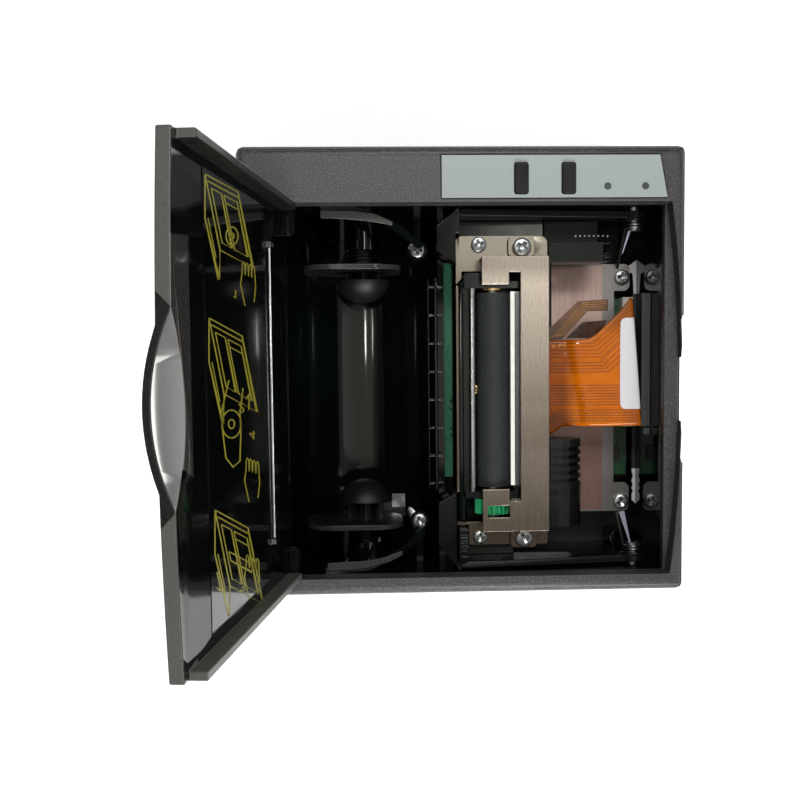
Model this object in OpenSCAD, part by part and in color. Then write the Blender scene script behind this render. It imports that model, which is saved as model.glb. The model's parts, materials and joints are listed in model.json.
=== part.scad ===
// Panel-mount receipt printer, lying on its back with its lid open.
// Frame: origin at the middle of the rear cover's outside face, +Z out of the front bezel,
// +Y towards the key strip, +X towards the side where the lid opens.

/* [Bezel] */
// Width of the bezel along X
bezel_w = 130; // [126:1:140]
// Height of the bezel along Y
bezel_h = 130; // [128:1:140]
// Thickness of the bezel
bezel_t = 8; // [7.5:0.5:10]
// Radius of the bezel's edges and corners
bezel_edge_r = 3; // [1:0.5:4]
// Width of the rim below the opening
lower_rim = 5; // [4:0.5:6]
// Width of the rim on the hinge side
hinge_rim = 9.3; // [8.5:0.1:10]
// Depth of the finger notch beside the lid's grip
notch_depth = 0.9; // [0.5:0.1:1]

/* [Body] */
// Depth from the rear face to the bezel's face
body_depth = 64; // [62:1:80]
// Wall of the housing
wall = 2; // [1.6:0.1:2.2]
// Thickness of the rear cover
cover_t = 2.5; // [2:0.1:3]
// Width of the opening below the lid's ledge
open_w = 115.5; // [114:0.5:117]
// Height of the opening
open_h = 108.8; // [106:0.2:110]
// Distance between the two bracket holes in each side
bracket_pitch = 60; // [40:2:80]
// Radius of a bracket hole
bracket_hole_r = 1.25; // [1:0.05:1.6]

/* [Lid] */
// Opening angle at which the lid rests
lid_angle = 97.6; // [90:0.1:97.8]
// Length of the lid from its hinge to its corners
lid_len = 111; // [109:0.5:111.5]
// Bulge of the lid's free edge
lid_bulge = 3.6; // [2:0.1:3.8]
// Thickness of the lid
lid_t = 3.2; // [2.8:0.1:4.3]
// Height of the lid's side rims
rim_h = 3.9; // [2:0.1:4.4]
// Thickness of the lid's side rims
rim_t = 2; // [1.5:0.1:2.5]
// Width of the lid's finger grip
grip_w = 43; // [34:1:46]
// Rise of the grip out of the lid
grip_rise = 4.4; // [3:0.1:4.6]
// Wall of the grip
grip_wall = 1.5; // [1.3:0.1:2.6]
// Diameter of the paper guide wire
wire_d = 0.76; // [0.6:0.02:1.2]
// Length of the paper guide wire
wire_len = 77.6; // [60:0.2:84]
// Distance of the guide wire from the hinge
wire_at = 27.4; // [20:0.2:40]
// Radius of the lid's hinge pins
hinge_pin_r = 1.5; // [1.2:0.1:1.7]

/* [Keys] */
// Width of a key
key_w = 3.9; // [3:0.1:5]
// Length of a key
key_l = 8.8; // [7:0.1:9]
// Travel of a key
key_travel = 0.6; // [0.3:0.1:0.7]
// Distance between the two keys
key_pitch = 13.7; // [11:0.1:16]
// Radius of a status lamp
lamp_r = 1; // [0.8:0.05:1.3]
// Distance between the two status lamps
lamp_pitch = 11; // [8:0.5:13]
// Width of the key strip
strip_w = 65.3; // [64:0.1:66]
// Height of the key strip
strip_h = 12.1; // [11:0.1:12.4]
// Thickness of the key strip
strip_t = 0.3; // [0.2:0.05:0.5]

/* [Roll compartment] */
// Radius of the paper trough
trough_r = 23; // [21:0.5:23.5]
// Wall of the trough
trough_t = 1.8; // [1.2:0.1:2]
// Depth of the roll's axis below the bezel's face
roll_depth = 27; // [25:0.5:28]
// Gap between the tips of the two hubs
hub_gap = 55; // [50:1:56]
// Radius of a hub's dome
dome_r = 8.5; // [7:0.1:9]
// Height of a hub's dome
dome_h = 7; // [5:0.5:8]
// Thickness of a hub's side plate
hub_plate_t = 1.6; // [1.2:0.1:2]
// Travel of a hub
hub_travel = 4; // [2:0.5:4.5]
// Radius of a hub's shaft
hub_shaft_r = 3.6; // [3:0.1:4]
// Distance between two teeth of the paper comb
comb_pitch = 8.5; // [6:0.5:12]

/* [Print mechanism] */
// Width of the platen's rubber, which is the paper's width
platen_len = 58; // [54:1:59]
// Radius of the platen's rubber
platen_r = 4.95; // [4.5:0.05:5]
// Radius of the platen's shaft
shaft_r = 2; // [1.5:0.1:2.4]
// Depth of the platen's axis below the bezel's face
platen_depth = 13.5; // [13.4:0.1:14.5]
// Distance of the platen's axis from the right wall of the opening
platen_inset = 50; // [49.5:0.1:50.5]
// Thickness of the steel bracket
bracket_t = 0.8; // [0.6:0.1:1]
// Thickness of the mechanism's steel base
base_t = 1.2; // [0.8:0.1:1.4]
// Tooth module of the gears
gear_m = 0.5; // [0.48:0.01:0.5]
// Width of the gears
gear_w = 4.6; // [3:0.1:5]
// Teeth of the platen gear
platen_teeth = 20; // [18:1:20]
// Teeth of the idler gear
idler_teeth = 24; // [20:1:24]
// Teeth of the motor pinion
pinion_teeth = 17; // [16:1:18]
// Radius of the motor
motor_r = 9; // [8:0.1:9.2]
// Length of the motor
motor_len = 16; // [12:0.5:16.5]

/* [Swing frame] */
// Opening angle of the swing frame
swing_angle = 60; // [20:5:60]
// Thickness of the swing frame's arms
arm_t = 2.1; // [1.6:0.1:2.4]
// Radius of the swing frame's pivot pins
pivot_r = 2; // [1.5:0.1:2.4]
// Travel of the release lever
lever_travel = 3; // [1:0.5:4]

/* [Electronics] */
// Thickness of the circuit boards
board_t = 1.6; // [1:0.1:2]
// Depth of the main board below the bezel's face
board_depth = 40.4; // [40:0.1:42]
// Thickness of the shield plate
shield_t = 0.8; // [0.6:0.1:1]
// Gap between the main board and the shield plate
shield_gap = 3; // [2.6:0.1:3.2]
// Thickness of the flat flexible circuits
flex_t = 0.3; // [0.2:0.05:0.4]

/* [Hidden] */
$fn = 64;
// clearances
fit_gap = 0.05;
slide_gap = 0.4;
lid_gap = 0.4;
small = 0.02;
// main levels, counted up from the rear face
top_z = body_depth;
seat_z = top_z - bezel_t;
ledge_z = top_z - 4.9;
// opening
open_x0 = -bezel_w / 2 + hinge_rim;
open_x1 = open_x0 + open_w;
open_y0 = -bezel_h / 2 + lower_rim;
open_y1 = open_y0 + open_h;
mid_y = (open_y0 + open_y1) / 2;
// outside of the housing
shell_x0 = open_x0 - 6.1;
shell_x1 = open_x1 + wall;
shell_y0 = open_y0 - wall;
shell_y1 = bezel_h / 2 - 2.6;
// lid, in its own frame: u from the hinge to the free edge, w out of the lid
hinge_x = open_x0 + 4.9;
hinge_z = top_z - 4.5;
lid_y0 = open_y0 + lid_gap;
lid_y1 = open_y1 - lid_gap;
lid_half = (lid_y1 - lid_y0) / 2;
lid_arc_r = (lid_half * lid_half + lid_bulge * lid_bulge) / (2 * lid_bulge);
lid_arc_u = lid_len + lid_bulge - lid_arc_r;
knuckle_r = hinge_pin_r + 1.1;
knuckle_len = 8;
knuckle_ys = [lid_y0 + 0.3, lid_y1 - 0.3 - knuckle_len];
grip_y = mid_y;
grip_reach = 8;
grip_tilt = atan(grip_rise / grip_reach);
grip_r = (grip_w * grip_w / 4 + grip_rise * grip_rise) / (2 * grip_rise);
wire_w = -wire_d / 2 - 0.04;
label_t = 0.15;
label_u = [31, 90.4];
// key strip
strip_x0 = open_x1 - 65.9;
strip_y0 = open_y1 + 1.1;
key_y = strip_y0 + strip_h / 2 - 0.55;
key_xs = [strip_x0 + 22.9, strip_x0 + 22.9 + key_pitch];
lamp_xs = [strip_x0 + 47.9, strip_x0 + 47.9 + lamp_pitch];
lamp_y = strip_y0 + 3.2;
key_proud = 0.8;
pocket_top = top_z - 3.2;
key_board_top = seat_z;
key_board_x = [strip_x0 - 3, open_x1 - 1.2];
key_board_y = [open_y1 + wall + 0.5, shell_y1 - wall - 0.3];
flange_t = 0.8;
switch_h = 2;
// roll compartment
roll_x = open_x0 + 26.8;
roll_z = top_z - roll_depth;
trough_top = roll_z + 12;
comb_x1 = roll_x + trough_r - 0.9;
comb_top = top_z - 14.5;
comb_y = [mid_y - 30.4, mid_y + 33.8];
hub_plate_h = 15;
hub_necks = [5.6, 2.4];
hub_tips = [mid_y - 0.4 - hub_gap / 2, mid_y - 0.4 + hub_gap / 2];
hub_plates = [
    hub_tips[0] - dome_h - hub_necks[0] - hub_plate_t,
    hub_tips[1] + dome_h + hub_necks[1] + hub_plate_t
];
hub_tube_gap = hub_travel + 1.2;
hub_shaft_ends = [open_y0 + hub_travel + 0.4, open_y1 - hub_travel - 0.4];
cheek_r = 34;
cheek_t = 2;
cheek_z = [top_z - 16, top_z - 10];
screw_post_x = roll_x + 16.6;
screw_post_ys = [mid_y - 40, mid_y + 42.4];
post_r = 3;
post_top = top_z - 17.6;
sensor_x = [roll_x + 3, screw_post_x - post_r - 0.3];
sensor_y = [mid_y - 42, mid_y - 37];
sensor_top = roll_z - hub_plate_h - 0.5;
// platen and gears, with angles in the XZ plane from +X to +Z
platen_x = open_x1 - platen_inset;
platen_z = top_z - platen_depth;
platen_y = [mid_y - platen_len / 2, mid_y + platen_len / 2];
platen_pitch_r = gear_m * platen_teeth / 2;
idler_pitch_r = gear_m * idler_teeth / 2;
pinion_pitch_r = gear_m * pinion_teeth / 2;
idler_dir = -13.7;
motor_dir = -31.5;
idler_x = platen_x + (platen_pitch_r + idler_pitch_r) * cos(idler_dir);
idler_z = platen_z + (platen_pitch_r + idler_pitch_r) * sin(idler_dir);
motor_x = idler_x + (idler_pitch_r + pinion_pitch_r) * cos(motor_dir);
motor_z = idler_z + (idler_pitch_r + pinion_pitch_r) * sin(motor_dir);
backlash = 0.12;
pressure_angle = 20;
side_t = 2;
side_y0 = platen_y[0] - 1.4 - side_t;
side_y1 = platen_y[1] + 1.4;
gear_y = side_y0 - 0.4 - gear_w;
bush_r = 3.3;
idler_pin_r = 1;
motor_shaft_r = 1;
motor_y1 = mid_y - 15.6;
motor_y0 = motor_y1 - motor_len;
cap_y0 = mid_y - 42;
// steel base and bracket of the mechanism
base_x = [platen_x - 11.2, platen_x + 17];
base_top = top_z - 14;
base_y = [mid_y - 47.4, mid_y + 46.3];
tab_top_y0 = base_y[1] - 10.7;
tab_low_y1 = base_y[0] + 7.2;
strip_w_left = 2.2;
bracket_top = top_z - 7;
bracket_x = [platen_x - 3.8, platen_x + 16.3];
bracket_y = [mid_y - 42.3, mid_y + 39.6];
leg_x = platen_x + 7.7;
lip_y = [mid_y - 29.5, mid_y + 31.3];
notch_y = [mid_y - 33.2, mid_y + 34.9];
window_y = [mid_y - 38, mid_y - 34.5];
pad_t = 1.2;
// place of each screw, the height of its pad and the radius of its head
mech_screws_at = [
    [platen_x - 3.9, bracket_y[1] + 4.1, 0, 2.3],
    [platen_x + 8.9, bracket_y[1] + 3.05, pad_t, 2.8],
    [platen_x - 3.9, bracket_y[0] - 2.6, 0, 2.1],
    [platen_x + 9.4, bracket_y[0] - 2.9, pad_t, 2.6]
];
head_face_x = platen_x + platen_r + 0.15;
head_board_t = 1.2;
head_y = [platen_y[0] + 0.4, platen_y[1] + 0.4];
heatsink_x1 = head_face_x + head_board_t + 3.4;
// swing frame
pivot_x = open_x1 - 5.6;
pivot_z = top_z - 19;
arm_gap = 0.6;
arm_y0 = open_y0 + arm_gap;
arm_y1 = open_y1 - arm_gap;
frame_x0 = base_x[0];
corner_x = frame_x0 - 5.7;
floor_z = top_z - 25;
floor_t = 2;
frame_top = top_z - 8.9;
pivot_boss_r = pivot_r + 2;
corner_z = roll_z + 7.5;
lever_y = [arm_y0 + arm_t + 0.4, tab_low_y1 - 1.4];
lever_x = [frame_x0 + 0.3, frame_x0 + 3.4];
lever_z = [floor_z + floor_t + lever_travel + 1, top_z - 6.5];
// electronics
board_z = top_z - board_depth;
bracket_z = board_z - 3.6;
board_x = [open_x0 + 52.8, open_x1 - 2.4];
board_y = [mid_y - 29, mid_y + 40.6];
shield_z = board_z + shield_gap;
shield_x = [platen_x + 12, open_x1 - 7.5];
shield_y = [mid_y - 40.6, mid_y + 39.6];
shield_screw_x = open_x1 - 5;
shield_screw_ys = [mid_y - 37.5, mid_y + 35.3];
shield_tab_ys = [[shield_y[0], shield_screw_ys[0] + 6.3], [shield_screw_ys[1] - 4.3, shield_y[1]]];
board_posts = [
    [board_x[0] + 5, board_y[0] + 5],
    [board_x[0] + 5, board_y[1] - 5],
    [board_x[1] - 8, board_y[0] + 5],
    [board_x[1] - 14, board_y[1] - 5]
];
flex_z = top_z - 18;
flex_y = [mid_y - 11.6, mid_y + 27.6];
flex_split_x = pivot_x - 4.2;
flex_bend_x = open_x1 - 2.7;
connector_h = 4.4;
side_strip_w = 1.35;
port_x = open_x0 + 86;
jack_x = open_x0 + 64;
port_y = mid_y + 8;
cover_screws_at = [
    [shell_x0 + 4, shell_y0 + 4.6],
    [shell_x1 - 5, shell_y1 - 6],
    [shell_x0 + 4, shell_y1 - 6],
    [shell_x1 - 4.6, shell_y0 + 4.6]
];

// ---------- shared shapes

// A box from its low and high corners
module block(low, high) {
    translate(low) cube(high - low);
}

// A rod along Y between two values of y
module rod_y(x, z, r, y0, y1) {
    translate([x, y1, z]) rotate([90, 0, 0]) cylinder(r = r, h = y1 - y0);
}

// A flat outline in X and Z, extruded along Y
module prism_y(y0, y1) {
    translate([0, y1, 0]) rotate([90, 0, 0]) linear_extrude(y1 - y0) children();
}

// A rectangle with round corners, around its centre
module round_rect(w, h, r) {
    square([w - 2 * r, h], center = true);
    square([w, h - 2 * r], center = true);
    for (x = [-1, 1], y = [-1, 1]) translate([x * (w / 2 - r), y * (h / 2 - r)]) circle(r);
}

// A plate with round corners between two corners of a box
module round_plate(low, high, r) {
    size = high - low;
    translate([(low.x + high.x) / 2, (low.y + high.y) / 2, low.z])
        linear_extrude(size.z) round_rect(size.x, size.y, r);
}

// The outline of a plate whose two upper edges are rounded, from v = 0 to v = t
module crowned(w, t, r) {
    translate([-w / 2, 0]) square([w, t - r]);
    translate([-w / 2 + r, 0]) square([w - 2 * r, t]);
    for (side = [-1, 1]) translate([side * (w / 2 - r), t - r]) circle(r);
}

// A pan-head screw whose head stands on z = 0, with a cross recess
module pan_screw(head_r, shank_r, shank_len) {
    head_h = head_r * 0.62;
    slot_w = head_r * 0.3;
    slot_l = head_r * 1.1;
    difference() {
        union() {
            cylinder(r = head_r, h = head_h * 0.55);
            translate([0, 0, head_h * 0.55]) cylinder(r1 = head_r, r2 = head_r * 0.72, h = head_h * 0.45);
            translate([0, 0, -shank_len]) cylinder(r = shank_r, h = shank_len);
        }
        for (turn = [20, 110])
            rotate([0, 0, turn])
                translate([-slot_l / 2, -slot_w / 2, head_h * 0.5]) cube([slot_l, slot_w, head_h]);
    }
}

// A coil spring along +Z, swept as one tube
module coil(r, wire_r, length, turns) {
    sides = 6;
    per_turn = 16;
    count = turns * per_turn;
    pitch = (length - 2 * wire_r) / turns;
    points = [
        for (i = [0 : count], k = [0 : sides - 1])
            let (turn = i / per_turn, a = 360 * k / sides, rr = r + wire_r * cos(a))
            [rr * cos(360 * turn), rr * sin(360 * turn), wire_r + pitch * turn + wire_r * sin(a)]
    ];
    tube = [
        for (i = [0 : count - 1], k = [0 : sides - 1])
            let (n = (k + 1) % sides)
            [i * sides + k, i * sides + n, (i + 1) * sides + n, (i + 1) * sides + k]
    ];
    ends = [[for (k = [sides - 1 : -1 : 0]) k], [for (k = [0 : sides - 1]) count * sides + k]];
    polyhedron(points, concat(tube, ends), convexity = 8);
}

// The outline of an involute gear, with a tooth centred on the angle first
function involute(base_r, r) = sqrt(max(0, r * r / (base_r * base_r) - 1)) * 180 / PI
    - acos(min(1, base_r / r));
module gear_outline(teeth, first) {
    pitch_r = gear_m * teeth / 2;
    base_r = pitch_r * cos(pressure_angle);
    tip_r = pitch_r + gear_m * 0.95;
    root_r = pitch_r - gear_m * 1.2;
    start_r = max(base_r, root_r);
    steps = 4;
    half = 90 / teeth - backlash / pitch_r * 90 / PI + involute(base_r, pitch_r);
    radii = [for (i = [0 : steps]) start_r + (tip_r - start_r) * i / steps];
    low_flank = [for (r = radii) [r, -half + involute(base_r, r)]];
    high_flank = [for (i = [steps : -1 : 0]) [radii[i], half - involute(base_r, radii[i])]];
    tooth = concat([[root_r, -half]], low_flank, high_flank, [[root_r, half]]);
    polygon([
        for (n = [0 : teeth - 1], p = tooth)
            let (a = first + n * 360 / teeth + p[1])
            [p[0] * cos(a), p[0] * sin(a)]
    ]);
}

// A gear on an axis along Y, with a bore
module gear_y(x, z, teeth, first, bore_r, y0, y1) {
    difference() {
        translate([x, 0, z]) prism_y(y0, y1) gear_outline(teeth, first);
        rod_y(x, z, bore_r, y0 - 1, y1 + 1);
    }
}

// ---------- bezel and housing

// The opening's right side above the ledge follows the lid's free edge
module lid_pocket_outline(gap) {
    intersection() {
        translate([open_x0, open_y0]) square([bezel_w, open_h]);
        translate([hinge_x + lid_arc_u, mid_y]) circle(lid_arc_r + gap, $fn = 256);
    }
}

module front_bezel() {
    color([0.2, 0.21, 0.23]) difference() {
        intersection() {
            translate([0, 0, seat_z]) linear_extrude(bezel_t + 1) round_rect(bezel_w, bezel_h, bezel_edge_r);
            translate([0, 0, seat_z]) prism_y(-bezel_h, bezel_h) crowned(bezel_w, bezel_t, bezel_edge_r);
            translate([-bezel_w, 0, seat_z]) rotate([90, 0, 90])
                linear_extrude(2 * bezel_w) crowned(bezel_h, bezel_t, bezel_edge_r);
        }
        block([open_x0, open_y0, seat_z - 1], [open_x1, open_y1, top_z + 1]);
        translate([0, 0, ledge_z]) linear_extrude(bezel_t) lid_pocket_outline(lid_gap);
        // finger notch beside the grip
        block([bezel_w / 2 - notch_depth, grip_y - grip_w / 2, top_z - 6],
            [bezel_w, grip_y + grip_w / 2, top_z + 1]);
        block([open_x1 + 1, grip_y - grip_w / 2 + 1, top_z - 1.6],
            [bezel_w, grip_y + grip_w / 2 - 1, top_z + 1]);
        // seat of the key strip and the pocket for the key board
        translate([0, 0, top_z - strip_t + 0.05]) linear_extrude(2) strip_outline(0.15);
        block([key_board_x[0] - 1, min(key_board_y[0] - 0.4, key_y - key_l / 2 - 0.7), seat_z - 1],
            [key_board_x[1] + 0.8, max(key_board_y[1] + 0.4, key_y + key_l / 2 + 0.7), pocket_top]);
        for (x = key_xs) key_hole(x, slide_gap / 2, pocket_top - 1, top_z + 1);
        for (x = lamp_xs) translate([x, lamp_y, seat_z]) cylinder(r = lamp_r + fit_gap, h = bezel_t + 1);
        for (y = [open_y0 - 3, open_y1]) rod_y(hinge_x, hinge_z, hinge_pin_r + small, y - small, y + 3 + small);
    }
    // posts that carry the key board
    color([0.2, 0.21, 0.23])
        for (x = [key_board_x[0] + 4, key_board_x[1] - 4])
            translate([x, key_board_y[1] - 2.6, key_board_top]) cylinder(r = 1.8, h = pocket_top - key_board_top);
}

module strip_outline(grow) {
    offset_x = strip_x0 - grow;
    y = strip_y0 - grow;
    w = strip_w + 2 * grow;
    h = strip_h + 2 * grow;
    polygon([[offset_x, y], [offset_x + w, y], [offset_x + w - 2.2, y + h], [offset_x, y + h]]);
}

module key_hole(x, gap, z0, z1) {
    round_plate([x - key_w / 2 - gap, key_y - key_l / 2 - gap, z0],
        [x + key_w / 2 + gap, key_y + key_l / 2 + gap, z1], 0.9);
}

module key_strip() {
    color([0.6, 0.64, 0.66]) difference() {
        translate([0, 0, top_z - strip_t + 0.05]) linear_extrude(strip_t) strip_outline(0);
        for (x = key_xs) key_hole(x, slide_gap / 2, top_z - 2, top_z + 1);
        for (x = lamp_xs) translate([x, lamp_y, top_z - 2]) cylinder(r = lamp_r + fit_gap, h = 4);
    }
}

module status_lamps() {
    color([0.2, 0.22, 0.22])
        for (x = lamp_xs)
            translate([x, lamp_y, key_board_top]) cylinder(r = lamp_r, h = top_z + 0.1 - key_board_top);
}

module key_cap(x) {
    flange_top = pocket_top - 0.05;
    color([0.1, 0.09, 0.09]) {
        key_hole(x, 0, flange_top - small, top_z + key_proud);
        round_plate([x - key_w / 2 - 0.9, key_y - key_l / 2 - 0.45, flange_top - flange_t],
            [x + key_w / 2 + 0.9, key_y + key_l / 2 + 0.45, flange_top], 0.9);
        translate([x, key_y, key_board_top + switch_h + 0.7 + key_travel])
            cylinder(r = 1.3, h = flange_top - flange_t + small - (key_board_top + switch_h + 0.7 + key_travel));
    }
}

module feed_key() {
    key_cap(key_xs[0]);
}

module print_key() {
    key_cap(key_xs[1]);
}

module key_board() {
    color([0.1, 0.4, 0.22])
        block([key_board_x[0], key_board_y[0], key_board_top - board_t],
            [key_board_x[1], key_board_y[1], key_board_top]);
}

module key_switches() {
    color([0.15, 0.15, 0.16])
        for (x = key_xs) {
            block([x - 2.2, key_y - 2.2, key_board_top], [x + 2.2, key_y + 2.2, key_board_top + switch_h]);
            translate([x, key_y, key_board_top + switch_h - small]) cylinder(r = 1, h = 0.6);
        }
}

module housing_shell() {
    color([0.05, 0.05, 0.055]) difference() {
        union() {
            difference() {
                round_plate([shell_x0, shell_y0, cover_t], [shell_x1, shell_y1, seat_z], 2);
                block([open_x0, open_y0, 0], [open_x1, open_y1, top_z]);
                // pocket behind the key strip
                block([shell_x0 + wall, open_y1 + wall, 0], [shell_x1 - wall, shell_y1 - wall, top_z]);
                // hollow of the hinge side
                block([shell_x0 + wall, open_y0 + 8, 0], [open_x0 - wall, open_y1 - 6, seat_z - 6]);
            }
            // ledge for the insulation strip
            block([open_x1 - side_strip_w, board_y[0] - 14, shield_z - 2], [open_x1, board_y[1] + 1, shield_z]);
            // screw bosses of the rear cover
            for (p = cover_screws_at)
                translate([p.x, p.y, cover_t]) cylinder(r = 3, h = 12);
            // bosses of the bracket holes
            for (x = [shell_x0, shell_x1 - wall - 2], y = [-1, 1])
                translate([x, y * bracket_pitch / 2, bracket_z]) rotate([0, 90, 0]) cylinder(r = 3, h = wall + 2);
            // guide tubes of the two hubs
            rod_y(roll_x, roll_z, hub_shaft_r + 2, hub_plates[1] + hub_tube_gap, open_y1);
            rod_y(roll_x, roll_z, hub_shaft_r + 2, open_y0, hub_plates[0] - hub_tube_gap);
        }
        for (p = cover_screws_at)
            translate([p.x, p.y, cover_t - 1]) cylinder(r = 1.25, h = 11);
        for (x = [shell_x0 - 1, shell_x1 - wall - 2 - small], y = [-1, 1])
            translate([x, y * bracket_pitch / 2, bracket_z])
                rotate([0, 90, 0]) cylinder(r = bracket_hole_r, h = wall + 3 + small);
        for (y = [open_y1 - small, open_y0 - wall - 1]) rod_y(pivot_x, pivot_z, pivot_r + small, y, y + wall + 1 + small);
        rod_y(roll_x, roll_z, hub_shaft_r + fit_gap, hub_plates[1], open_y1 + small);
        rod_y(roll_x, roll_z, hub_shaft_r + fit_gap, open_y0 - small, hub_plates[0]);
    }
}

module rear_cover() {
    slot_w = 2;
    slot_l = 26;
    slot_pitch = 5;
    color([0.07, 0.07, 0.075]) difference() {
        union() {
            round_plate([shell_x0, shell_y0, 0], [shell_x1, shell_y1, cover_t], 2);
            for (p = board_posts) translate([p.x, p.y, cover_t]) cylinder(r = 2.6, h = board_z - board_t - cover_t);
            for (y = shield_screw_ys) translate([shield_screw_x, y, cover_t]) cylinder(r = 2.4, h = shield_z - cover_t);
        }
        for (p = cover_screws_at) {
            translate([p.x, p.y, -1]) cylinder(r = 1.25 + small, h = cover_t + 2);
            translate([p.x, p.y, -1]) cylinder(r = 3, h = 2.4);
        }
        for (y = shield_screw_ys) translate([shield_screw_x, y, shield_z - 8]) cylinder(r = 1 + small, h = 9);
        // vents
        for (i = [-3 : 3], side = [-1, 1])
            translate([side * 34 - 4, i * slot_pitch - 34, -1])
                linear_extrude(cover_t + 2) round_rect(slot_l, slot_w, slot_w / 2 - small);
        // windows of the two connectors
        block([port_x - 16.2, port_y - 6.2, -1], [port_x + 16.2, port_y + 6.2, cover_t + 1]);
        block([jack_x - 5, port_y - 22, -1], [jack_x + 5, port_y - 11, cover_t + 1]);
    }
}

module cover_screws() {
    color([0.7, 0.7, 0.72])
        for (p = cover_screws_at)
            translate([p.x, p.y, 1.4]) rotate([180, 0, 0]) pan_screw(2, 1.25, 10);
}

module lid_hinge_pins() {
    color([0.7, 0.7, 0.72])
        for (i = [0, 1]) {
            out = i == 0 ? open_y0 - 3 : open_y1 + 3;
            inside = i == 0 ? knuckle_ys[0] + knuckle_len : knuckle_ys[1];
            rod_y(hinge_x, hinge_z, hinge_pin_r, min(out, inside), max(out, inside));
        }
}

module swing_pivot_pins() {
    color([0.7, 0.7, 0.72]) {
        rod_y(pivot_x, pivot_z, pivot_r, arm_y1 - arm_t - 3.6, open_y1 + wall);
        rod_y(pivot_x, pivot_z, pivot_r, open_y0 - wall, arm_y0 + arm_t + 3.6);
    }
}

// A round bar between two points
module bar(a, b, r1, r2) {
    d = b - a;
    len = norm(d);
    translate(a) rotate([0, acos(d.z / len), atan2(d.y, d.x)]) cylinder(r1 = r1, r2 = r2, h = len);
}

// Spring wires that lift the freed frame: a collar on each pin and a leg to the shield plate's tab
module swing_springs() {
    wire_r = 0.45;
    collar_r = pivot_r + wire_r;
    color([0.75, 0.74, 0.78])
        for (side = [0, 1]) {
            y = side == 0 ? arm_y0 + arm_t + 1.7 : arm_y1 - arm_t - 1.7;
            inward = side == 0 ? 1 : -1;
            for (turn = [0, 1])
                translate([pivot_x, y + inward * turn * wire_r * 1.9, pivot_z])
                    rotate([90, 0, 0]) rotate_extrude() translate([collar_r + 0.02, 0]) circle(r = wire_r, $fn = 24);
            bar([pivot_x - collar_r, y + inward * 0.4, pivot_z],
                [shield_screw_x - 1.5, shield_screw_ys[side] + -inward * 3.2, shield_z + shield_t + wire_r * 0.8],
                wire_r, wire_r);
        }
}

// ---------- roll compartment

module paper_trough() {
    outer_r = trough_r + trough_t;
    color([0.05, 0.05, 0.055]) {
        translate([roll_x, 0, roll_z]) prism_y(open_y0, open_y1) difference() {
            circle(r = outer_r, $fn = 128);
            circle(r = trough_r, $fn = 128);
            translate([-outer_r - 1, 0]) square([2 * outer_r + 2, outer_r + 1]);
        }
        block([roll_x - outer_r, open_y0, roll_z - small], [roll_x - trough_r, open_y1, trough_top]);
        block([roll_x + trough_r, open_y0, roll_z - small], [roll_x + outer_r, open_y1, comb_top - 8]);
    }
}

// A thin wall with short ribs that lead the paper out of the compartment
module paper_comb() {
    edge_t = 0.7;
    color([0.06, 0.06, 0.06]) {
        block([comb_x1 - edge_t, comb_y[0], roll_z + 2], [comb_x1, comb_y[1], comb_top]);
        block([comb_x1 - edge_t, comb_y[0], roll_z + 2], [roll_x + trough_r, comb_y[1], roll_z + 4]);
        block([comb_x1 - 2.6, comb_y[0], roll_z + 5], [comb_x1 - 2.1, comb_y[1], comb_top - 3]);
        for (y = [comb_y[0] + comb_pitch / 4 : comb_pitch : comb_y[1]]) {
            block([comb_x1 - 2.6, y - 0.35, roll_z + 4], [roll_x + trough_r, y + 0.35, comb_top - 0.4]);
            block([comb_x1, y - 0.35, comb_top - 8], [roll_x + trough_r + 1, y + 0.35, comb_top - 0.4]);
        }
    }
}

// Curved bars at both ends of the compartment, each running into a screw post
module end_cheeks() {
    color([0.08, 0.08, 0.085])
        for (side = [-1, 1]) {
            wall_y = side < 0 ? open_y0 : open_y1;
            post_y = screw_post_ys[side < 0 ? 0 : 1];
            centre = [roll_x - 9, wall_y - side * (cheek_r + 1.3)];
            translate([0, 0, cheek_z[0]]) linear_extrude(cheek_z[1] - cheek_z[0]) intersection() {
                difference() {
                    translate(centre) circle(r = cheek_r + cheek_t, $fn = 128);
                    translate(centre) circle(r = cheek_r, $fn = 128);
                }
                translate([roll_x - 12.3, min(post_y, wall_y)]) square([30, abs(wall_y - post_y)]);
            }
            // the post stands on the trough
            difference() {
                intersection() {
                    translate([screw_post_x, post_y, roll_z - trough_r]) cylinder(r = post_r, h = post_top - roll_z + trough_r);
                    union() {
                        rod_y(roll_x, roll_z, trough_r - small, post_y - 5, post_y + 5);
                        block([roll_x, post_y - 5, roll_z], [comb_x1, post_y + 5, top_z]);
                    }
                }
                translate([screw_post_x, post_y, post_top - 9]) cylinder(r = 1.2, h = 10);
            }
            // web from the post to the end wall
            web_y = post_y + side * (post_r - 0.5);
            block([screw_post_x - 1, min(web_y, wall_y), cheek_z[0] - 6],
                [screw_post_x + 1, max(web_y, wall_y), post_top]);
        }
}

module trough_screws() {
    color([0.75, 0.76, 0.78])
        for (y = screw_post_ys) translate([screw_post_x, y, post_top]) pan_screw(2.2, 1.2, 8);
}

// Sensor that reports a nearly empty roll
module low_paper_sensor() {
    color([0.16, 0.15, 0.13]) intersection() {
        block([sensor_x[0], sensor_y[0], roll_z - trough_r], [sensor_x[1], sensor_y[1], sensor_top]);
        rod_y(roll_x, roll_z, trough_r, sensor_y[0] - 1, sensor_y[1] + 1);
    }
}

module sensor_lever() {
    x = [sensor_x[1] - 4.4, sensor_x[1] - 0.2];
    y = sensor_y[1];
    color([0.75, 0.76, 0.78]) {
        block([x[0], y - 2, sensor_top], [x[1], y + 2.6, sensor_top + 0.4]);
        block([x[0], y + 2.2, sensor_top], [x[1], y + 2.6, sensor_top + 1.6]);
    }
}

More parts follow.
